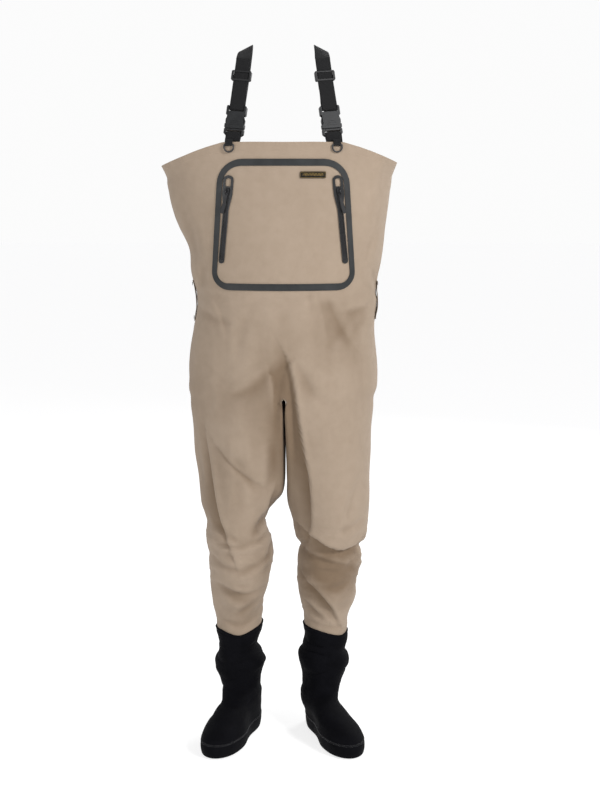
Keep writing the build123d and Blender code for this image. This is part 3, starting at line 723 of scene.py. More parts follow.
def crumple(points):
    """Soft, ridged unevenness: long folds down the thighs, short ones across the shins."""
    z = points[:, 2]
    tall, flat = np.array([1, 1, 3.2]), np.array([2.6, 2.6, 0.9])
    long_folds = ridges(points, tall, 46, 3) + 0.5 * lattice_noise(points / tall, 23, 4)
    cross_folds = ridges(points, flat, 30, 5) + 0.6 * ridges(points, flat, 16, 6)
    broad = lattice_noise(points, 120, 7)
    pinch = ridges(points, np.array([1.5, 1.5, 0.8]), 26, 8)
    shin = step_up(-z, -520, -400)
    legs = (1 - shin) * (1.5 * long_folds + 3.0 * broad) + shin * (2.1 * cross_folds + 1.5 * broad)
    return legs + np.exp(-((z - 925) / 38) ** 2) * 2.0 * pinch


# How far the join of leg and sock hangs below level in front: place across the leg (inside -1,
# outside 1) and drop, on the wearer's left (1) and right (-1)
HEM_DROPS = {1: [(-1, 5), (-0.5, 8), (0, 13), (0.5, 20), (0.8, 23), (1, 19)],
             -1: [(-1, 0), (-0.5, 8), (0, 18), (0.3, 20), (0.7, 15), (1, 11)]}
ANKLE_X, ANKLE_HALF = 86, 45


def hang_hem(points):
    """Lowers points near the ankles so that the join dips as on a bent knee."""
    x, y, z = points.T
    across = np.clip((np.abs(x) - ANKLE_X) / ANKLE_HALF, -1, 1)
    drop = np.zeros(len(x))
    for side, table in HEM_DROPS.items():
        front = np.interp(across, *round_off(table).T)
        back = np.interp(across, (-1, 1), (table[0][1], table[-1][1]))
        drop = np.where(x * side > 0, back + step_up(50 - y, -30, 30) * (front - back), drop)
    drop *= step_up(-z, -330, -250) * step_up(z, 150, 215)
    return np.stack([x, y, z - drop], 1)


def seam_ridges(x, y, z):
    """Seams stand a little proud: down both sides and down the middle, front and back."""
    side = 0.9 * np.exp(-((y - along_table(ROWS, z)[2]) / 5.5) ** 2) * (np.abs(x) > 60)
    middle = 0.5 * np.exp(-(x / 4.5) ** 2) * (z > CROTCH)
    return side + middle * (1 - step_up(z, 950, 1000) * (y < 0))


def sculpt(thing):
    """Folds and unevenness, kept away from the top hem, the pocket, the straps and the cuffs."""
    points, normals = read_mesh(thing)
    x, y, z = points.T
    front, back = (step_up(sign * normals[:, 1], -0.15, 0.35) for sign in (-1, 1))
    push = np.zeros(len(points))
    for facing, folds, edges in ((front, FRONT_FOLDS, FRONT_EDGES), (back, BACK_FOLDS, BACK_EDGES)):
        for fold in folds:
            push += facing * fold_depth(x, z, *fold)
        for edge in edges:
            push += facing * edge_depth(x, z, *edge)
    most = 14
    push = most * np.tanh(1.3 * push / most) + crumple(points)
    fore, midst = step_up(-y, -20, 10), -np.abs(x)
    push *= 1 - 0.96 * step_up(z, 1085, 1180)
    push *= 1 - 0.97 * step_up(midst, -158, -132) * step_up(z, 925, 965) * fore
    push *= 0.15 + 0.85 * step_up(z, 236, 262)
    push *= 1 - 0.85 * step_up(midst, -20, -6) * step_up(CROTCH + 30 - z, 0, 70)
    push *= 1 - 0.9 * step_up(y, 60, 100) * step_up(z, 1100, 1150)
    push *= 1 - 0.4 * step_up(z, 800, 850) * fore
    # Painted shade, kept in a point attribute that darkens the fabric: a shadow down the slit between
    # the thighs, shadows below both knees, and shade in the fold valleys where push is negative.
    slit_shadow = np.exp(-(x / 15) ** 2) * step_up(CROTCH + 12 - z, 0, 20) * step_up(z, 430, 600)
    knee_shadows = (0.75 * np.exp(-((x - 95) / 44) ** 2 - ((z - 345) / 52) ** 2)
                   + 0.35 * np.exp(-((x + 92) / 40) ** 2 - ((z - 330) / 60) ** 2))
    shade = np.clip(slit_shadow + front * knee_shadows - push / 9, 0, 1)
    painted_shade = thing.data.attributes.new("painted_shade", "FLOAT", "POINT")
    painted_shade.data.foreach_set("value", shade.astype(np.float32))
    points = points + normals * (push + seam_ridges(x, y, z))[:, None]
    slant = np.exp(-(x / 26) ** 2) * np.cos(np.clip((y - MIDDLE_Y) / 240, -0.5, 0.5) * math.pi)
    points[:, 0] += 4.5 * slant * step_up(CROTCH + 45 - z, 0, 35) * step_up(z, 480, 560)
    write_points(thing, hang_hem(points))


# ---------------------------------------------------------------- layers draped on the garment
class Skin:
    """The garment's outer face, to lay other layers on."""

    def __init__(self, thing):
        self.points, self.normals = read_mesh(thing)
        self.corners = [tuple(p.vertices) for p in thing.data.polygons]
        self.tree = BVHTree.FromPolygons([tuple(p) for p in self.points], self.corners)

    def at(self, x, z, lift):
        """The place lift outside the front where a line of sight at x, z meets it, and its normal."""
        hit, _, face, _ = self.tree.ray_cast(Vector((x, -500, z)), Vector((0, 1, 0)))
        if hit is None:
            hit, _, face, _ = self.tree.find_nearest(Vector((x, MIDDLE_Y - HALF_DEPTH, z)))
        corners = list(self.corners[face])
        away = np.linalg.norm(self.points[corners] - np.array(hit), axis=1) + 0.01
        normal = unit((self.normals[corners] / away[:, None] ** 2).sum(0))
        return np.array(hit) + normal * lift, normal

    def near(self, point):
        return np.array(self.tree.find_nearest(Vector(point))[0])


def inside_loop(points, loop):
    """Which points lie inside a closed loop."""
    x, y = points.T
    inside = np.zeros(len(points), bool)
    for (x0, y0), (x1, y1) in zip(loop, np.roll(loop, -1, axis=0)):
        crosses = (y0 > y) != (y1 > y)
        at = x0 + (y - y0) * (x1 - x0) / (y1 - y0 if y1 != y0 else 1)
        inside ^= crosses & (x < at)
    return inside


def within(points, loops):
    """Which points lie inside the first loop and outside the others."""
    keep = inside_loop(points, loops[0])
    for hole in loops[1:]:
        keep &= ~inside_loop(points, hole)
    return keep


def rounded_loop(corners, radii, step):
    """A closed outline with rounded corners, as evenly spaced points."""
    corners = np.array(corners, float)
    path = []
    for i, (corner, radius) in enumerate(zip(corners, radii)):
        before, after = unit(corners[i - 1] - corner), unit(corners[(i + 1) % len(corners)] - corner)
        half = math.acos(np.clip(before @ after, -1, 1)) / 2
        middle = corner + unit(before + after) * radius / math.sin(half)
        ends = [corner + way * radius / math.tan(half) - middle for way in (before, after)]
        first, last = (math.atan2(y, x) for x, y in ends)
        sweep = (last - first + math.pi) % math.tau - math.pi
        for angle in first + sweep * np.linspace(0, 1, 9):
            path.append(middle + radius * np.array([math.cos(angle), math.sin(angle)]))
    path = np.array(path + [path[0]])
    run = run_along(path)
    at = np.linspace(0, run[-1], max(12, round(run[-1] / step)) + 1)[:-1]
    return sampled(at, run, path)


def draped_patch(name, skin, loops, lift, thick, grid):
    """A flat-cut layer laid on the garment's front: an outline, then holes; solid outwards."""
    low, high = loops[0].min(0), loops[0].max(0)
    across, up = (np.arange(low[k] + grid / 2, high[k], grid) for k in (0, 1))
    inner = np.stack(np.meshgrid(across, up), -1).reshape(-1, 2)
    inner = inner[within(inner, loops)]
    rim = np.concatenate(loops)
    away = np.min(np.linalg.norm(inner[:, None] - rim[None], axis=2), axis=1)
    inner = inner[away > grid * 0.45]
    edges, base = [], 0
    for loop in loops:
        edges += [(base + i, base + (i + 1) % len(loop)) for i in range(len(loop))]
        base += len(loop)
    flat = [Vector(p) for p in np.concatenate([rim, inner])]
    made, _, faces, *_ = geometry.delaunay_2d_cdt(flat, edges, [], 0, 1e-5)
    made = np.array([tuple(p) for p in made])
    faces = np.array([f for f in faces if len(f) == 3])
    faces = faces[within(made[faces].mean(1), loops)]
    placed = np.array([skin.at(x, z, lift)[0] for x, z in made])
    a, b, c = placed[faces[0]]
    if np.cross(b - a, c - a)[1] > 0:
        faces = faces[:, ::-1]
    thing = mesh_object(name, placed, faces.tolist(), made)
    thicken(thing, thick, 1.0)
    sharpen(thing)
    return thing


THREAD_SIDES = 5
THREAD_PROFILE = [(-0.5, 0.25), (-0.3, 0.85), (0.0, 1.0), (0.3, 0.85), (0.5, 0.25)]


def stitches(name, paths, look, slot, pitch, length, radius):
    """Thread along paths of (point, normal) pairs, dipping into the cloth between stitches."""
    round_thread = [(math.cos(a), math.sin(a)) for a in np.linspace(0, math.tau, THREAD_SIDES + 1)[:-1]]
    count = len(THREAD_PROFILE)
    tube = grid_faces(count, THREAD_SIDES, True)
    last = (count - 1) * THREAD_SIDES
    tube += [tuple(range(THREAD_SIDES - 1, -1, -1)), tuple(range(last, last + THREAD_SIDES))]
    vertices, faces = [], []
    for path in paths:
        points, normals = (np.array(column) for column in zip(*path))
        run = run_along(points)
        for middle in np.arange(pitch / 2, run[-1], pitch):
            at, normal = sampled(middle, run, points), sampled(middle, run, normals)
            along = unit(sampled(min(middle + 1, run[-1]), run, points)
                         - sampled(max(middle - 1, 0), run, points))
            normal = unit(normal - along * (normal @ along))
            side = np.cross(along, normal)
            base = len(vertices)
            for share, size in THREAD_PROFILE:
                centre = at + along * share * length + normal * radius * (0.9 - 4.5 * share * share)
                vertices += [centre + (side * u + normal * v) * radius * size for u, v in round_thread]
            faces += [tuple(base + k for k in face) for face in tube]
    thing = mesh_object(name, vertices, faces)
    dress(thing, look, slot)


# ---------------------------------------------------------------- chest pocket
POCKET = dict(top=1205.0, bottom=946.0, half_top=128.0, half_bottom=144.5)
# Rounding of the pocket's corners: two at the top, two at the bottom
POCKET_RADII = np.array([52, 52, 36, 36])
ZIP_TOP, ZIP_BOTTOM = np.array([105.5, 1168.0]), np.array([122.0, 1000.0])
ZIP_LENGTH = float(np.linalg.norm(ZIP_TOP - ZIP_BOTTOM))
FILM_THICK = 0.85
# Lifts off the shell: films, coil and label on the pocket, then the thread on the label
FILM_LIFT, COIL_LIFT, LABEL_LIFT, LABEL_THREAD_LIFT = 1.85, 1.9, 1.9, 2.62
LABEL = (33, 83, 1166.5, 1179.5)


def pocket_loop(inset, side_inset, step):
    top, bottom = POCKET["half_top"] - side_inset, POCKET["half_bottom"] - side_inset
    high, low = POCKET["top"] - inset, POCKET["bottom"] + inset
    corners = [(-top, high), (top, high), (bottom, low), (-bottom, low)]
    return rounded_loop(corners, POCKET_RADII - inset, step)


def zip_point(across, along):
    """A place in the front view, measured across and up the zip's own line from its top."""
    up = (ZIP_TOP - ZIP_BOTTOM) / ZIP_LENGTH
    return ZIP_TOP + np.array([up[1], -up[0]]) * across + up * along


def zip_loop(half, top, bottom, radii, step):
    corners = [(-half, top), (half, top), (half, bottom), (-half, bottom)]
    return rounded_loop([zip_point(*c) for c in corners], radii, step)


def label_loop(inset, radius):
    left, right, low, high = LABEL[0] + inset, LABEL[1] - inset, LABEL[2] + inset, LABEL[3] - inset
    return rounded_loop([(left, high), (right, high), (right, low), (left, low)], [radius] * 4, 1.5)


def build_pocket(skin):
    panel = draped_patch("pocket_panel", skin, [pocket_loop(0, 0, 3.5)], 0.25, 1.4, 6)
    dress(panel, "pocket_fabric", "pocket_fabric", "chest_pocket_panel")
    loops = [pocket_loop(1.2, 1.2, 2.4), pocket_loop(14.7, 11.7, 2.4)]
    border = draped_patch("pocket_border", skin, loops, FILM_LIFT, FILM_THICK, 3.2)
    dress(border, "welded_film", "welded_tape", "pocket_border_tape")

    # Wide round the window at its top, narrow beside the coil below
    outline = [(-10, 4), (10, 4), (10, -34), (5.5, -62), (5.5, -ZIP_LENGTH), (-5.5, -ZIP_LENGTH),
               (-5.5, -62), (-10, -34)]
    loops = [rounded_loop([zip_point(*c) for c in outline], [9, 9, 12, 12, 5.2, 5.2, 12, 12], 1.6),
             zip_loop(3.5, -20, 6 - ZIP_LENGTH, [0.4] * 4, 1.6),
             zip_loop(5, -1.5, -17.5, [4.6, 4.6, 2, 2], 1.2)]
    for side, sign in SIDES:
        surround = draped_patch(f"zip_surround_{side}", skin, [loop * (sign, 1) for loop in loops],
                                FILM_LIFT, FILM_THICK, 2.0)
        dress(surround, "zip_surround_film", "welded_tape", f"zip_surround_{side}")
        build_chain(skin, side, sign)

    patch = draped_patch("label_patch", skin, [label_loop(0, 2)], LABEL_LIFT, 0.75, 2.4)
    dress(patch, "label_satin", "label", "label_patch")
    edge = label_loop(1.2, 1.4)
    path = [skin.at(x, z, LABEL_THREAD_LIFT) for x, z in np.concatenate([edge, edge[:1]])]
    stitches("label_stitches", [path], "gold_thread", "label", 1.6, 1.2, 0.2)
    build_motif(skin)


def build_motif(skin):
    """Two rows of small woven waves across the label; it carries no lettering."""
    across, waves = np.linspace(38, 78, 61), 7
    arches = 1.5 * np.abs(np.sin((across - 38) / 40 * math.pi * waves))
    paths = [[skin.at(x, z, LABEL_THREAD_LIFT) for x, z in zip(across, 1173 + level + arches)]
             for level in (-1.6, 0.6)]
    stitches("label_motif", paths, "gold_thread", "label", 0.8, 0.95, 0.26)


def build_chain(skin, side, sign):
    """The closed zip: two coated tapes that meet over the coil, which raises them a little."""
    profile = [(0.25, 0.85), (0.7, 1.05), (1.4, 0.9), (2.2, 0.45), (2.9, 0.25), (3.2, 0.0)]
    profile = [(-a, lift) for a, lift in profile[::-1]] + [(0, 0.35)] + profile
    along = np.linspace(-20.3, 6.3 - ZIP_LENGTH, 240)
    points, uvs = np.zeros((len(along), len(profile), 3)), np.zeros((len(along), len(profile), 2))
    for i, down in enumerate(along):
        tooth = 0.12 if i % 2 == 0 else -0.12
        for j, (across, lift) in enumerate(profile):
            x, z = zip_point(across, down)
            ripple = tooth if 0.5 < abs(across) < 2 else 0
            points[i, j] = skin.at(sign * x, z, COIL_LIFT + lift + ripple)[0]
            uvs[i, j] = (across, down)
    chain = grid_object(f"zip_chain_{side}", points[::-1, ::sign], uvs=uvs)
    dress(chain, "zip_coil", "zip_coil", f"zip_chain_{side}")


# ---------------------------------------------------------------- straps
STRAP_X, RING_X = 101, 105
STRAP_WIDTH, STRAP_THICK = 30, 1.35


def bib_y(x, z, side=-1, offset=0.0):
    """Where the plain bib lies, front (-1) or back (1)."""
    rx = 184 + (z - 940) / 302 * 67 + offset
    return MIDDLE_Y + side * (HALF_DEPTH + offset) * math.sqrt(1 - (x / rx) ** 2)


def bib_turn(x, z, side=-1):
    return math.atan2(bib_y(x + 0.5, z, side) - bib_y(x - 0.5, z, side), 1.0)


def edge_frame(x):
    """The bib's top edge at x: the place, the way along it and the way into the body."""
    turn = bib_turn(x, TOP)
    return (np.array([x, bib_y(x, TOP), TOP]), np.array([math.cos(turn), math.sin(turn), 0]),
            np.array([-math.sin(turn), math.cos(turn), 0]))


def strap_frame():
    """The strap's own frame at the bib's edge: across it, into the body, and up it."""
    edge, across, inwards = edge_frame(STRAP_X)
    up = unit([-0.137, 0.235, 1])
    across = unit(across - up * (across @ up))
    return edge + inwards * 7.9, across, np.cross(up, across), up


STRAP_ORIGIN, STRAP_ACROSS, STRAP_INWARDS, STRAP_UP = strap_frame()


def arc(centre, radius, start, end):
    angles = np.radians(np.linspace(start, end, 11))
    return [(centre[0] + radius * math.cos(a), centre[1] + radius * math.sin(a)) for a in angles]


def on_strap(route):
    """Places from (depth into the body, way up the strap); below the edge it hangs plumb."""
    return [STRAP_ORIGIN + STRAP_INWARDS * depth + (STRAP_UP * s if s > 0 else np.array([0, 0, s]))
            for depth, s in route]


def curve_through(values, steps):
    """A smooth curve through rows of values."""
    values = np.array(values, float)
    ends = np.concatenate([[2 * values[0] - values[1]], values, [2 * values[-1] - values[-2]]])
    result = []
    for a, b, c, d in zip(ends, ends[1:], ends[2:], ends[3:]):
        span = np.linalg.norm((c - b)[:3])
        before = (c - a) * span / (np.linalg.norm((c - a)[:3]) + 1e-9)
        after = (d - b) * span / (np.linalg.norm((d - b)[:3]) + 1e-9)
        for t in np.linspace(0, 1, steps, endpoint=False):
            result.append((2 * t ** 3 - 3 * t * t + 1) * b + (t ** 3 - 2 * t * t + t) * before
                          + (3 * t * t - 2 * t ** 3) * c + (t ** 3 - t * t) * after)
    return np.array(result + [values[-1]])


def ribbon(name, points, across, width, thick, rib, steps=4):
    """A woven strip through the points, with rounded selvedges; rib raises lines along it."""
    table = curve_through(np.hstack([points, across]), steps)
    centres, wide = table[:, :3], table[:, 3:]
    along = unit(np.gradient(centres, axis=0))
    wide = unit(wide - along * (wide * along).sum(1)[:, None])
    out = np.cross(wide, along)
    half, count = width / 2, 14
    shares = np.linspace(-1, 1, count)
    thin = thick / 2 * (1 - 0.35 * np.abs(shares) ** 8)
    thin = thin + rib * np.cos(np.arange(count) * math.pi) * (np.abs(shares) < 0.9)
    profile = list(zip(shares * half, thin)) + [(half, 0)]
    profile = np.array(profile + list(zip(shares[::-1] * half, -thin[::-1])) + [(-half, 0)])
    shape = (centres[:, None] + wide[:, None] * profile[:, :1] + out[:, None] * profile[:, 1:])
    uvs = np.stack(np.meshgrid(profile[:, 0], run_along(centres)), -1)
    rows, columns = shape.shape[:2]
    faces = [face[::-1] for face in grid_faces(rows, columns, True)]
    faces += [tuple(range(columns)), tuple(range(rows * columns - 1, (rows - 1) * columns - 1, -1))]
    return mesh_object(name, shape.reshape(-1, 3), faces, uvs.reshape(-1, 2))


def strap_ribbon(name, route, beyond=()):
    """Webbing along a route on the strap, then through further (place, width vector) pairs."""
    points, wide = on_strap(route), [STRAP_ACROSS] * len(route)
    points += [place for place, _ in beyond]
    wide += [vector for _, vector in beyond]
    return ribbon(name, points, wide, STRAP_WIDTH, STRAP_THICK, 0.06)


# Place, turn and roll of the webbing's width over the shoulder and down to the back
OVER_SHOULDER = [
    (76.2, -15, 1411.5, 8, 12), (74.8, 4, 1420.5, 5, 24), (74.0, 22, 1423, 0, 28),
    (75.0, 41, 1420.5, -3, 26), (77.5, 59, 1412, -5, 18), (80.5, 75, 1398.5, -7, 10),
    (84.0, 90, 1378.5, -9, 5), (88.5, 103.5, 1353, -11, 2), (93.5, 115, 1325, -12, 0),
]
# Height up the strap of the tri-glide's middle, its bar's depth, and the webbing's turn round a bar
TRI_MID, TRI_BAR, LOOP_R = 133.5, 4.0, 2.7


def width_vector(turn, roll=0):
    turn, roll = math.radians(turn), math.radians(roll)
    return np.array([math.cos(turn) * math.cos(roll), math.sin(turn), -math.sin(roll)])


def pair(thing):
    """(side, sign, object) for a left piece and its mirror image."""
    base = thing.name
    thing.name = base + "_left"
    copy = link(base + "_right", thing.data.copy())
    copy.data.transform(((-1, 0, 0, 0), (0, 1, 0, 0), (0, 0, 1, 0), (0, 0, 0, 1)))
    copy.data.flip_normals()
    return [("left", 1, thing), ("right", -1, copy)]


def follow(piece, sign, start, end):
    """Bakes the piece's placing into its mesh; the places start and end up the strap are worked out but
    not used.
    """
    start, end = ((STRAP_ORIGIN + STRAP_UP * s) * (sign, 1, 1) * MM for s in (start, end))
    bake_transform(piece)


def build_straps(skin):
    route = [(1.6, 118), (1.6, 104), (2.4, 92), (5.5, 80)] + arc((LOOP_R, 67.2), LOOP_R, 0, -180)
    route += [(0, s) for s in (80, 92, 104, 118, TRI_MID, 150, 164, 168)]
    over = [(np.array(row[:3]), width_vector(*row[3:])) for row in OVER_SHOULDER]
    for side, sign, piece in pair(strap_ribbon("strap", route, over)):
        set_material(piece, LOOKS["webbing"])
        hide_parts(f"strap_webbing_{side}")
        follow(piece, sign, 118, 80)

    route = [(3.3, 107.5), (3.2, 114), (3.4, 121), (5.4, 127), (6.4, TRI_MID - 1)]
    route += arc((TRI_BAR, TRI_MID), LOOP_R - 0.3, 0, 180)
    route += [(1.6, TRI_MID - 2), (1.6, 126), (1.6, 117.5)]
    for side, sign, piece in pair(strap_ribbon("strap_end", route)):
        set_material(piece, LOOKS["webbing"])
        follow(piece, sign, 108, 124)

    route = [(0, -38), (0, -20), (0, 0), (0, 8), (0, 14)] + arc((LOOP_R, 18.2), LOOP_R, 180, 0)
    route += [(5.4, 13), (3.4, 6), (1.7, 1), (1.7, -20), (1.7, -38)]
    for side, _, piece in pair(strap_ribbon("strap_anchor", route)):
        dress(piece, "webbing", "webbing", f"strap_anchor_{side}")

    build_elastic()
    build_ring_tabs()
    build_belt_loops(skin)


def build_elastic():
    points, wide, steps = [], [], 6
    for x, y, z, turn, roll in OVER_SHOULDER[-2:]:
        points.append((x, y + 2.0, z + 1.0))
        wide.append(width_vector(turn, roll))
    for x, z, out in [(100.5, 1287, -5.5), (106.5, 1250, 0.2), (108, 1228, 1.2), (108, 1190, 1.2),
                      (108, 1150, 1.2)]:
        height = min(z, TOP)
        points.append((x, bib_y(x, height, 1, 1.1) + out, z))
        wide.append(width_vector(math.degrees(bib_turn(x, height, 1))))
    elastic = ribbon("strap_elastic", points, wide, STRAP_WIDTH, 1.8, 0.12, steps)
    frames = curve_through(np.hstack([points, wide]), steps)
    sewn = bartack(frames[:7], 1.1, [(0.1, 0.9)])
    sewn += bartack(frames[-19:], 1.1, [(0.03, 0.45), (0.5, 0.97)])
    for side, sign, piece in pair(elastic):
        dress(piece, "elastic", "elastic", f"strap_elastic_{side}")
        paths = [[(p * (sign, 1, 1), n * (sign, 1, 1)) for p, n in path] for path in sewn]
        stitches(f"elastic_stitches_{side}", paths, "grey_thread", "elastic", 2.6, 1.9, 0.3)


def bartack(frames, lift, spans):
    """Boxes with a cross in them, sewn on a strap; frames hold its centres and width vectors."""
    centres, wide = frames[:, :3], frames[:, 3:]
    out = unit(np.cross(wide, np.gradient(centres, axis=0)))
    wide = unit(wide)
    at = np.linspace(0, 1, len(centres))

    def place(u, share):
        middle, across, normal = (sampled(share, at, rows) for rows in (centres, wide, out))
        if normal[1] < 0:
            normal = -normal
        return middle + across * u + normal * lift, normal

    half, paths = STRAP_WIDTH / 2 - 3, []
    for low, high in spans:
        corners = [(-half, low), (half, low), (half, high), (-half, high)]
        lines = list(zip(corners, corners[1:] + corners[:1]))
        lines += [(corners[0], corners[2]), (corners[1], corners[3])]
        for (u0, s0), (u1, s1) in lines:
            paths.append([place(u0 + (u1 - u0) * t, s0 + (s1 - s0) * t) for t in np.linspace(0, 1, 12)])
    return paths


def build_ring_tabs():
    """A folded tab over the bib's edge, with the D-ring's bar in its outer fold."""
    origin, along, inwards = edge_frame(RING_X)
    route = [(5.1, -26), (5.1, -12), (5.1, 0.8)] + arc((2.15, 0.8), 2.95, 0, 180)[1:]
    route += arc((-3.1, -5.0), 2.15, 0, -180) + [(-4.85, -2.5)]
    route += arc((2.15, 0.8), 4.25, 176, 0) + [(6.4, -12), (6.4, -26)]
    points = [origin + inwards * depth + (0, 0, rise) for depth, rise in route]
    for side, _, piece in pair(ribbon("ring_tab", points, [along] * len(points), 14, 0.95, 0.04, 3)):
        dress(piece, "webbing", "webbing", f"ring_tab_{side}")


BELT_Z, BELT_HALF = 920, 39


def build_belt_loops(skin):
    """Flat loops standing off the waist, box-stitched at both ends."""
    half = BELT_HALF
    steps = [(0.8, half), (0.8, half - 5), (0.8, half - 9), (1.1, half - 12), (1.4, half - 17),
             (1.6, 10)]
    steps += [(lift, -rise) for lift, rise in steps[::-1]]
    for name, start, out, along in [("belt_loop_left", (230 * 0.84, MIDDLE_Y), (1, 0, 0), (0, 1, 0)),
                                    ("belt_loop_right", (-230 * 0.84, MIDDLE_Y), (-1, 0, 0), (0, -1, 0)),
                                    ("belt_loop_back", (0, 150), (0, 1, 0), (-1, 0, 0))]:
        out, along = np.array(out, float), np.array(along, float)
        points = [skin.near((*start, BELT_Z + rise)) + out * lift for lift, rise in steps]
        tacks = []
        for sign, end in ((1, points[0]), (-1, points[-1])):
            low, high = sorted((sign * (half - 7.5), sign * (half - 1.5)))
            for level in np.linspace(low, high, 6):
                line = [end + along * u + out * 0.85 for u in np.linspace(-10, 10, 8)]
                tacks.append([(np.array([x, y, BELT_Z + level]), out) for x, y, _ in line])
        loop = ribbon(name + "_web", points, [along] * len(points), 22, 1.4, 0.05, 3)
        dress(loop, "loop_webbing", "loop_webbing", name)
        stitches(name + "_stitches", tacks, "dark_thread", "loop_webbing", 1.7, 1.6, 0.34)


# ---------------------------------------------------------------- socks
# Height, centre y, half width, half length, in the foot's own frame with the heel behind
SOCK = [
    (236, 0, 44.5, 50.5), (184, 0, 42.5, 50), (149, 1, 47, 55), (117, 0, 41, 49), (103, -2, 38, 49),
    (92, -8, 36, 54), (80, -26, 36, 73), (67, -44, 39, 93), (52, -59, 43, 111),
    (34, -71, 47, 125), (20, -73, 48, 128), (8, -72.5, 47, 125.5), (0, -72, 45, 121),
]
SOCK_TOP, SOLE_TOP = 236, 5.15
# The ankle's place on the floor and how far the toes turn out
FOOT, SPLAY = np.array([86.0, 50.0]), math.radians(16.5)
# How far each ankle leans outwards and how much wider it is: height, left, right
SHIFTS = [(236, 1, 10), (218, 2, 10), (184, -3, 14), (166, -3, 10), (148, -2, 8), (130, -3, 12),
          (112, -5, 9), (94, -9, 6), (78, -17, 0), (60, -15, 0), (40, -6, 2), (0, -3, 2)]
WIDTHS = [(236, -1, 2), (218, -2, -1), (184, -1, -7), (166, 4, -3), (148, 1, 4), (130, -2, 1),
          (112, -3, -2), (94, -1, 0), (78, 0, 2), (60, 0, 0), (0, 0, 0)]


def sock_ring(z, side, offset=0.0, count=96):
    """The sock's section at a height, on one side."""
    yc, rx, ry = along_table(SOCK, z)
    turn = np.linspace(0, math.tau, count, endpoint=False)
    narrowing = 0.16 * max(0.0, 1 - z / 110)
    half = (rx + side_value(WIDTHS, z, side) + offset) * (1 - narrowing * (1 + np.sin(turn)) / 2)
    toe = step_up(60 - z, 0, 40) * step_up(-np.sin(turn), 0.5, 1.0)
    x = half * np.cos(turn) * (1 + 0.10 * toe)
    y = yc + (ry + offset) * np.sin(turn)
    x *= 1 - 0.27 * np.exp(-((y + 64) / 50) ** 2) * step_up(104 - z, 0, 30)
    across = FOOT[0] + x * math.cos(SPLAY) - y * math.sin(SPLAY) + side_value(SHIFTS, z, side)
    deep = FOOT[1] + x * math.sin(SPLAY) + y * math.cos(SPLAY)
    return np.stack([side * across, deep, np.full(count, z)], 1)


def build_socks():
    for side, sign in SIDES:
        heights = np.concatenate([np.linspace(SOCK_TOP, 110, 54), np.linspace(108.5, 5.2, 76)])
        rings = np.array([sock_ring(z, sign) for z in heights])[:, ::sign]
        girth = np.linalg.norm(np.diff(rings, axis=1, append=rings[:, :1]), axis=2).cumsum(1)
        down = np.linalg.norm(np.diff(rings, axis=0, prepend=rings[:1]), axis=2).cumsum(0)
        sock = grid_object(f"sock_upper_shape_{side}", rings, True, np.stack([girth, down], 2))
        crease_sock(sock, sign)
        thicken(sock, 4.3, -1.0)
        dress(sock, "neoprene", "neoprene", f"sock_upper_{side}")
        build_sole(side, sign)
        sock_seams(sock, side, sign)
        build_ankle_tape(side, sign)


def crease_sock(sock, sign):
    """Slack rolls round the ankle and small creases over the instep."""
    points, normals = read_mesh(sock)
    y, z = points[:, 1], points[:, 2]
    apart = 900 * (sign < 0)
    rolls = 1 - 2 * np.abs(lattice_noise(points / (3, 3, 1) + apart, 21, 11))
    small = lattice_noise(points * (1, 1, 1.6), 14, 12)
    broad = lattice_noise(points, 45, 13)
    ankle = step_up(z, 66, 100) * (1 - step_up(z, 205, 228))
    instep = np.exp(-((z - 74) / 20) ** 2) * step_up(-y, -30, 30)
    foot = (1 - step_up(z, 40, 80)) * step_up(z, 8, 24)
    hem = step_up(z, 226.5, 228) * (1 - step_up(z, 232, 233.5))
    push = ankle * (2.6 * rolls + 0.7 * small + 0.8 * broad) + instep * (1.6 * rolls + 0.5 * small)
    push += foot * (0.8 * broad + 0.3 * small) + 1.1 * hem
    write_points(sock, hang_hem(points + normals * push[:, None]))


def build_sole(side, sign):
    """A moulded sole: a lid inside the sock, a rim that turns up at the edge, a flat tread."""
    # The foot's section taken at a height, its offset, and where the ring lies
    steps = [(SOLE_TOP, 0.2, SOLE_TOP), (3.2, 0.5, 3.2), (1.4, 0.1, 1.4), (0.5, -1.2, 0.25),
             (0.5, -3, 0)]
    rim = [sock_ring(at, sign, offset) * (1, 1, 0) + (0, 0, z) for at, offset, z in steps]
    middle = rim[-1].mean(0)
    tread = [middle + (rim[-1] - middle) * share for share in (0.85, 0.65, 0.4, 0.18, 0.03)]
    lid = [middle * (1, 1, 0) + (rim[0] - middle) * (share, share, 1) for share in (0.02, 0.6)]
    rings = np.array(lid + rim + tread)[:, ::sign]
    sole = grid_object(f"sock_sole_shape_{side}", rings, True, rings[:, :, :2])
    sole.data.flip_normals()
    sharpen(sole, 60)
    dress(sole, "neoprene_sole", "neoprene_sole", f"sock_sole_{side}")


def sock_seams(sock, side, sign):
    """Flatlock seams, round the foot above the sole and up the heel: zigzag thread on the sock."""
    tree = BVHTree.FromObject(sock, bpy.context.evaluated_depsgraph_get())
    ring = sock_ring(30.0, sign, 4)
    heel = [(sign * (FOOT[0] - 90 * math.sin(SPLAY)), FOOT[1] + 90 * math.cos(SPLAY), z)
            for z in np.linspace(32, 224, 60)]
    paths = []
    for seam in (np.concatenate([ring, ring[:1]]), heel):
        hits = [tree.find_nearest(Vector(point) * MM)[:2] for point in seam]
        points, normals = (np.array([tuple(hit[k]) for hit in hits]) for k in (0, 1))
        points /= MM
        run = run_along(points)
        at = np.arange(0, run[-1], 1.5)
        centre, normal = sampled(at, run, points), unit(sampled(at, run, normals))
        across = unit(np.cross(np.gradient(centre, axis=0), normal))
        zigzag = np.where(np.arange(len(at)) % 2, 1.5, -1.5)[:, None]
        paths.append(list(zip(centre + across * zigzag + normal * 0.12, normal)))
    stitches(f"sock_seams_{side}", paths, "dark_thread", "neoprene", 3.35, 3.2, 0.3)


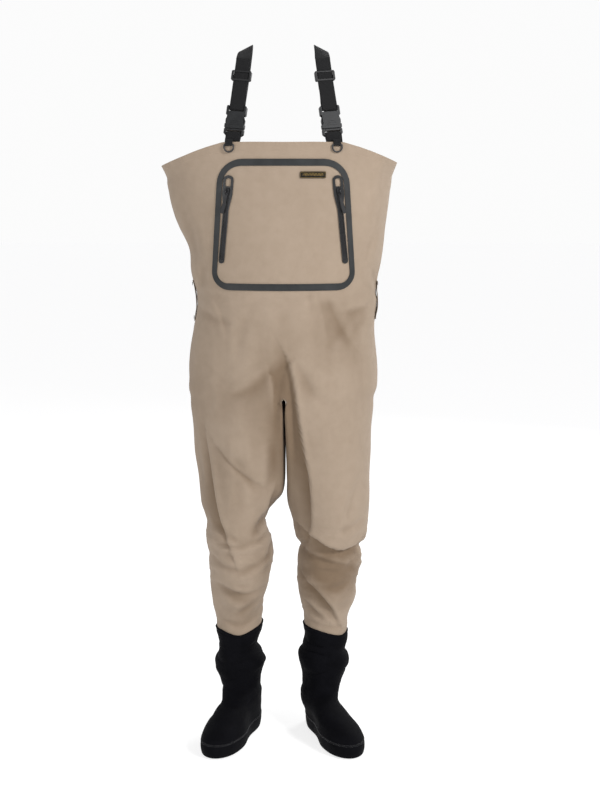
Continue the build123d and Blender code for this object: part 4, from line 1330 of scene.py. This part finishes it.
def build_ankle_tape(side, sign):
    """The tape glued inside over the join between trouser leg and sock."""
    rings = [hang_hem(sock_ring(min(z, SOCK_TOP), sign, -inset) * (1, 1, 0) + (0, 0, z))
             for z, inset in ((244, 5.2), (239, 5.4), (234, 5.8), (229, 6.6), (224, 7.4))]
    tape = grid_object(f"ankle_tape_{side}", np.array(rings)[:, ::sign], True)
    thicken(tape, 0.8, -1.0)
    dress(tape, "seam_tape", "seam_tape", f"ankle_seam_tape_{side}")


# ---------------------------------------------------------------- the inside of the garment
# How far inside the outer face the tapes' middle lies, and how thick they are
TAPE_DEPTH, TAPE_THICK = 3.35, 0.75


def inner_tape(name, rows, facings, replaced):
    """A tape glued to the inner face, from rows of places on the outer face."""
    tape = grid_object(name, np.array(rows) - np.array(facings) * TAPE_DEPTH)
    thicken(tape, TAPE_THICK, 0.0)
    dress(tape, "seam_tape", "seam_tape", replaced)


def around(ring, column, reach):
    """A row's vertices either side of one column."""
    return ring[(column + np.arange(-reach, reach + 1)) % len(ring)]


def even_tape(name, skin, picks, width, replaced):
    """A tape of even width about the middle vertex of each row picked."""
    rows, facings = [], []
    for pick in picks:
        run = run_along(skin.points[pick])
        run -= run[len(pick) // 2]
        at = np.linspace(-width / 2, width / 2, 7)
        rows.append(sampled(at, run, skin.points[pick]))
        facings.append(unit(sampled(at, run, skin.normals[pick])))
    inner_tape(name, rows, facings, replaced)


def build_seam_tapes(skin, rings):
    torso, half, quarter = rings["torso"], HALF_COLUMNS, HALF_COLUMNS // 2
    for side, sign in SIDES:
        flank = quarter if sign > 0 else 2 * half - quarter
        picks = [around(ring, flank, 2) for ring in torso[9:]]
        picks += [around(ring, quarter, 6) for ring in rings[sign][1:-4]]
        even_tape(f"side_tape_{side}", skin, picks, 22, f"side_seam_tape_{side}")
        picks = [around(ring, half + INNER_COLUMNS // 2, 6) for ring in rings[sign][3:-4]]
        even_tape(f"inseam_strip_{side}", skin, picks, 20, f"inseam_tape_{side}")
    for name, column in (("front", 0), ("back", half)):
        picks = [around(ring, column, 3) for ring in torso[6:-1]]
        even_tape(f"{name}_tape", skin, picks, 22, f"{name}_seam_tape")
    for side, sign in SIDES:
        for name, span in (("front_hem", range(1, quarter)), ("back_hem", range(quarter + 1, half))):
            columns = [k * sign % (2 * half) for k in span]
            picks = np.array(torso[:5])[:, columns]
            rows = skin.points[picks]
            rows[0, :, 2] -= 1.2
            inner_tape(f"{name}_strip_{side}", rows, skin.normals[picks], f"{name}_tape_{side}")


def beside(skin, ring, column, away):
    """A place on a row a little way beside a column, and its normal."""
    step, far = (1, away) if away > 0 else (-1, -away)
    a, b, c = (ring[(column + k * step) % len(ring)] for k in (0, 1, 2))
    first, second = (np.linalg.norm(skin.points[q] - skin.points[p]) for p, q in ((a, b), (b, c)))
    if far <= first:
        share, low, high = far / first, a, b
    else:
        share, low, high = min((far - first) / second, 1.0), b, c
    return skin.points[low] * (1 - share) + skin.points[high] * share, skin.normals[low]


def top_stitching(skin, rings):
    """Thread along the top hem and down both sides of the side seams."""
    quarter, torso, paths = HALF_COLUMNS // 2, rings["torso"], []
    for ring in (torso[1], torso[4]):
        spans = ((0, quarter - 1), (quarter + 2, 3 * quarter - 1), (3 * quarter + 2, 4 * quarter + 1))
        for low, high in spans:
            picks = ring[np.arange(low, high) % len(ring)]
            paths.append(list(zip(skin.points[picks], skin.normals[picks])))
    for _, sign in SIDES:
        flank = quarter if sign > 0 else 3 * quarter
        for away in (-5, 5):
            path = [beside(skin, ring, flank, away) for ring in torso[4:-1]]
            paths.append(path + [beside(skin, ring, quarter, away * sign) for ring in rings[sign][1:-2]])
    stitches("hem_stitches", paths, "tan_thread", "shell_fabric", 3.6, 2.6, 0.26)


# ---------------------------------------------------------------- putting it together
def dress_hardware():
    """The moulded and metal parts keep their CAD shapes."""
    moulded = ["buckle_male", "buckle_arm_outer", "buckle_arm_inner", "tri_glide"]
    for look, slot, bases in (
        ("buckle_socket", "buckle_plastic", ["buckle_female"]),
        ("buckle_plastic", "buckle_plastic", moulded),
        ("ring_plastic", "ring_plastic", ["d_ring"]),
        ("zip_metal", "zip_metal", ["zip_slider", "zip_puller"]),
        ("pull_rubber", "pull_rubber", ["zip_pull_tab"]),
    ):
        for node in (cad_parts[f"{base}_{side}"] for base in bases for side, _ in SIDES):
            set_material(node, LOOKS[look])


def finish_shell(shell):
    """Gives the shell its lining and thickness, which fades at the fork."""
    set_material(shell, LOOKS["shell_fabric"], LOOKS["shell_lining"])
    x, _, z = read_mesh(shell)[0].T
    fork = np.exp(-(x / 9) ** 2) * step_up(z, 690, 705) * step_up(-z, -740, -732)
    cloth = shell.vertex_groups.new(name="cloth")
    for index, weight in enumerate(1 - 0.9 * fork):
        cloth.add([index], float(weight), "REPLACE")
    thicken(shell, FABRIC, -1.0, material_offset=1, material_offset_rim=0, vertex_group="cloth")
    sharpen(shell, 70)
    finish_piece(shell, "shell_fabric", "front_panel_left", "front_panel_right", "back_panel_left",
                 "back_panel_right", "crotch_gusset")


make_camera()
make_studio()
make_looks()
shell, rings = build_garment()
sculpt(shell)
skin = Skin(shell)
build_pocket(skin)
build_straps(skin)
build_socks()
build_seam_tapes(skin, rings)
top_stitching(skin, rings)
finish_shell(shell)
dress_hardware()
